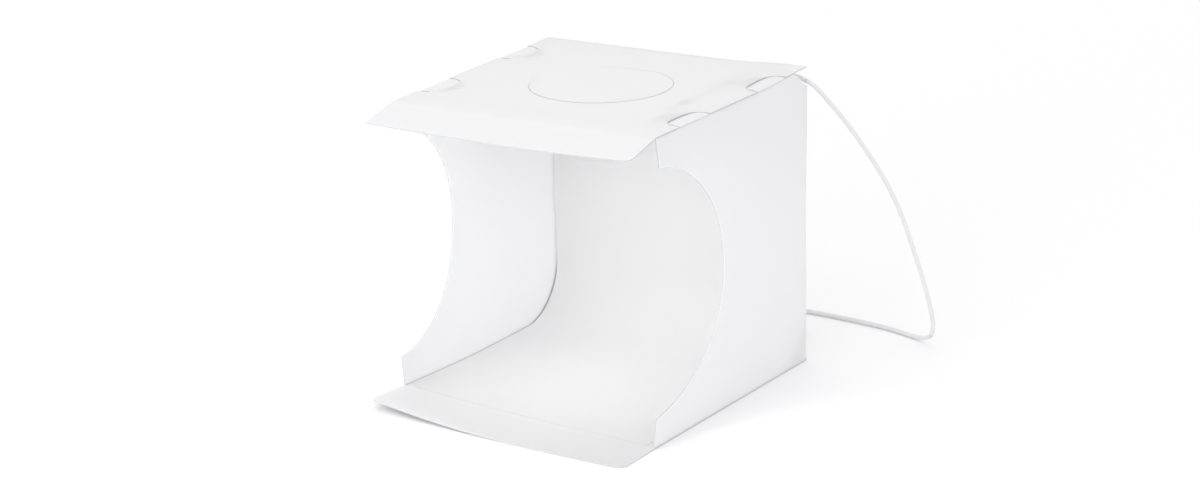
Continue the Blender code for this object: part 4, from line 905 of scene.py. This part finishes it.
# The lead's end at the board: a heat-shrink sleeve over the cut jacket, a red and a black core, and a dome of
# tin solder on each. Two clear-white nylon clips with adhesive pads hold the lead to the top.
shrink_sleeve = plain_finish("white_heat_shrink", "#E8E8E8", 0.42, 1.2, 0.00005)
red_core = plain_finish("red_pvc_insulation", "#B81F1F", 0.40, 0.5, 0.00002)
black_core = plain_finish("black_pvc_insulation", "#1C1C1E", 0.40, 0.5, 0.00002)
tin_solder = plain_finish("tin_solder", "#C6C8CA", 0.28, 0.6, 0.00003, Metallic=1.0)
clip_nylon = plain_finish("moulded_white_nylon", "#EAEAE8", 0.38, 1.0, 0.00003)
standing_copy("lead_sleeve", [shrink_sleeve])
standing_copy("lead_core_plus", [red_core])
standing_copy("lead_core_minus", [black_core])
standing_copy("solder_plus", [tin_solder])
standing_copy("solder_minus", [tin_solder])
standing_copy("lead_clip_front", [clip_nylon])
standing_copy("lead_clip_rear", [clip_nylon])

# The inline switch: two white ABS shells with a fine spark-eroded grain, a grey rocker, soft PVC sleeves that
# the lead enters, and brass contacts inside. Its solids have the right shape and stay.
abs_shell = plain_finish("spark_grained_white_abs", "#E6E6E8", 0.36, 0.6, 0.00006)
rocker_abs = plain_finish("moulded_grey_abs", "#C4C7CA", 0.32, 0.6, 0.00003)
sleeve_pvc = plain_finish("moulded_white_pvc", "#E2E2E4", 0.42, 0.9, 0.00004)
contact_brass = plain_finish("stamped_brass", "#D9B56A", 0.30, 0.7, 0.00002, Metallic=1.0)
switch_finishes = [abs_shell] * 2 + [rocker_abs] + [sleeve_pvc] * 2 + [contact_brass] * 2
for node, finish in zip(switch_nodes, switch_finishes, strict=True):
    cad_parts[node].material_slots[0].material = finish

# The USB plug: a white overmoulded grip, a folded shell of nickel-plated steel, a white tongue and two brass
# contacts. Its solids stay too.
grip_pvc = plain_finish("overmoulded_white_pvc", "#E4E4E6", 0.45, 0.8, 0.00005)
plated_steel = plain_finish("nickel_plated_steel", "#C9C9C8", 0.26, 1.5, 0.00002, Metallic=1.0)
tongue_nylon = plain_finish("white_glass_nylon", "#E9E9E6", 0.40, 0.5, 0.00002)
plug_finishes = [grip_pvc, plated_steel, tongue_nylon, contact_brass, contact_brass]
for node, finish in zip(plug_nodes, plug_finishes, strict=True):
    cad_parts[node].material_slots[0].material = finish

# The floor and the light. A studio table covered with pale paper runs on out of the picture, a hair below the
# box, under a bright even tent of light. A large soft lamp stands in front and a little above, a long narrow
# one lies where the light bar shines, and a small weak one at the open front fills the inside.
table_half = 15.0
table_z = -0.0001
x, y = np.meshgrid([-table_half, table_half], [-table_half, table_half])
table = surface("studio_floor", np.stack([x, y, np.full_like(x, table_z)], axis=-1), outwards=(0, 0, 1))
table.data.materials.append(finish_named("pale_studio_paper", "#FCFCFD", 0.9, Specular_IOR_Level=0.2)[0])

tent_strength = 1.02
world = bpy.data.worlds.new("studio_light")
world.use_nodes = True
tent = world.node_tree.nodes["Background"]
tent.inputs["Color"].default_value = linear("#FFFFFF")
tent.inputs["Strength"].default_value = tent_strength
bpy.context.scene.world = world
bpy.context.scene.view_settings.view_transform = "Standard"


def soft_lamp(name, place, aim, sides, watts, spread=180):
    """An oblong soft lamp with two side lengths, turned to an aim point, that shines within a spread in
    degrees. The camera sees its light and not the lamp."""
    light = bpy.data.lights.new(name, "AREA")
    light.shape = "RECTANGLE"
    light.size, light.size_y = sides
    light.energy = watts
    light.spread = math.radians(spread)
    lamp = bpy.data.objects.new(name, light)
    away = np.array(place, float) - np.array(aim, float)
    away /= np.linalg.norm(away)
    side = np.cross((0, 0, 1), away)
    side /= np.linalg.norm(side)
    up = np.cross(away, side)
    lamp.matrix_world = Matrix([[side[i], up[i], away[i], place[i]] for i in range(3)] + [[0, 0, 0, 1]])
    lamp.visible_camera = False
    bpy.context.scene.collection.objects.link(lamp)


soft_lamp("front_lamp", (0, -0.9, 0.30), (0, 0, 0.08), (0.5, 0.5), 1.83)
soft_lamp("light_bar_glow", (0, -0.066, 0.2335), (0, 0.085, 0), (0.19, 0.012), 0.105, spread=110)
soft_lamp("mouth_fill_lamp", (-0.040, -0.165, 0.14), (0.03, 0.100, 0.02), (0.19, 0.19), 0.036, spread=140)
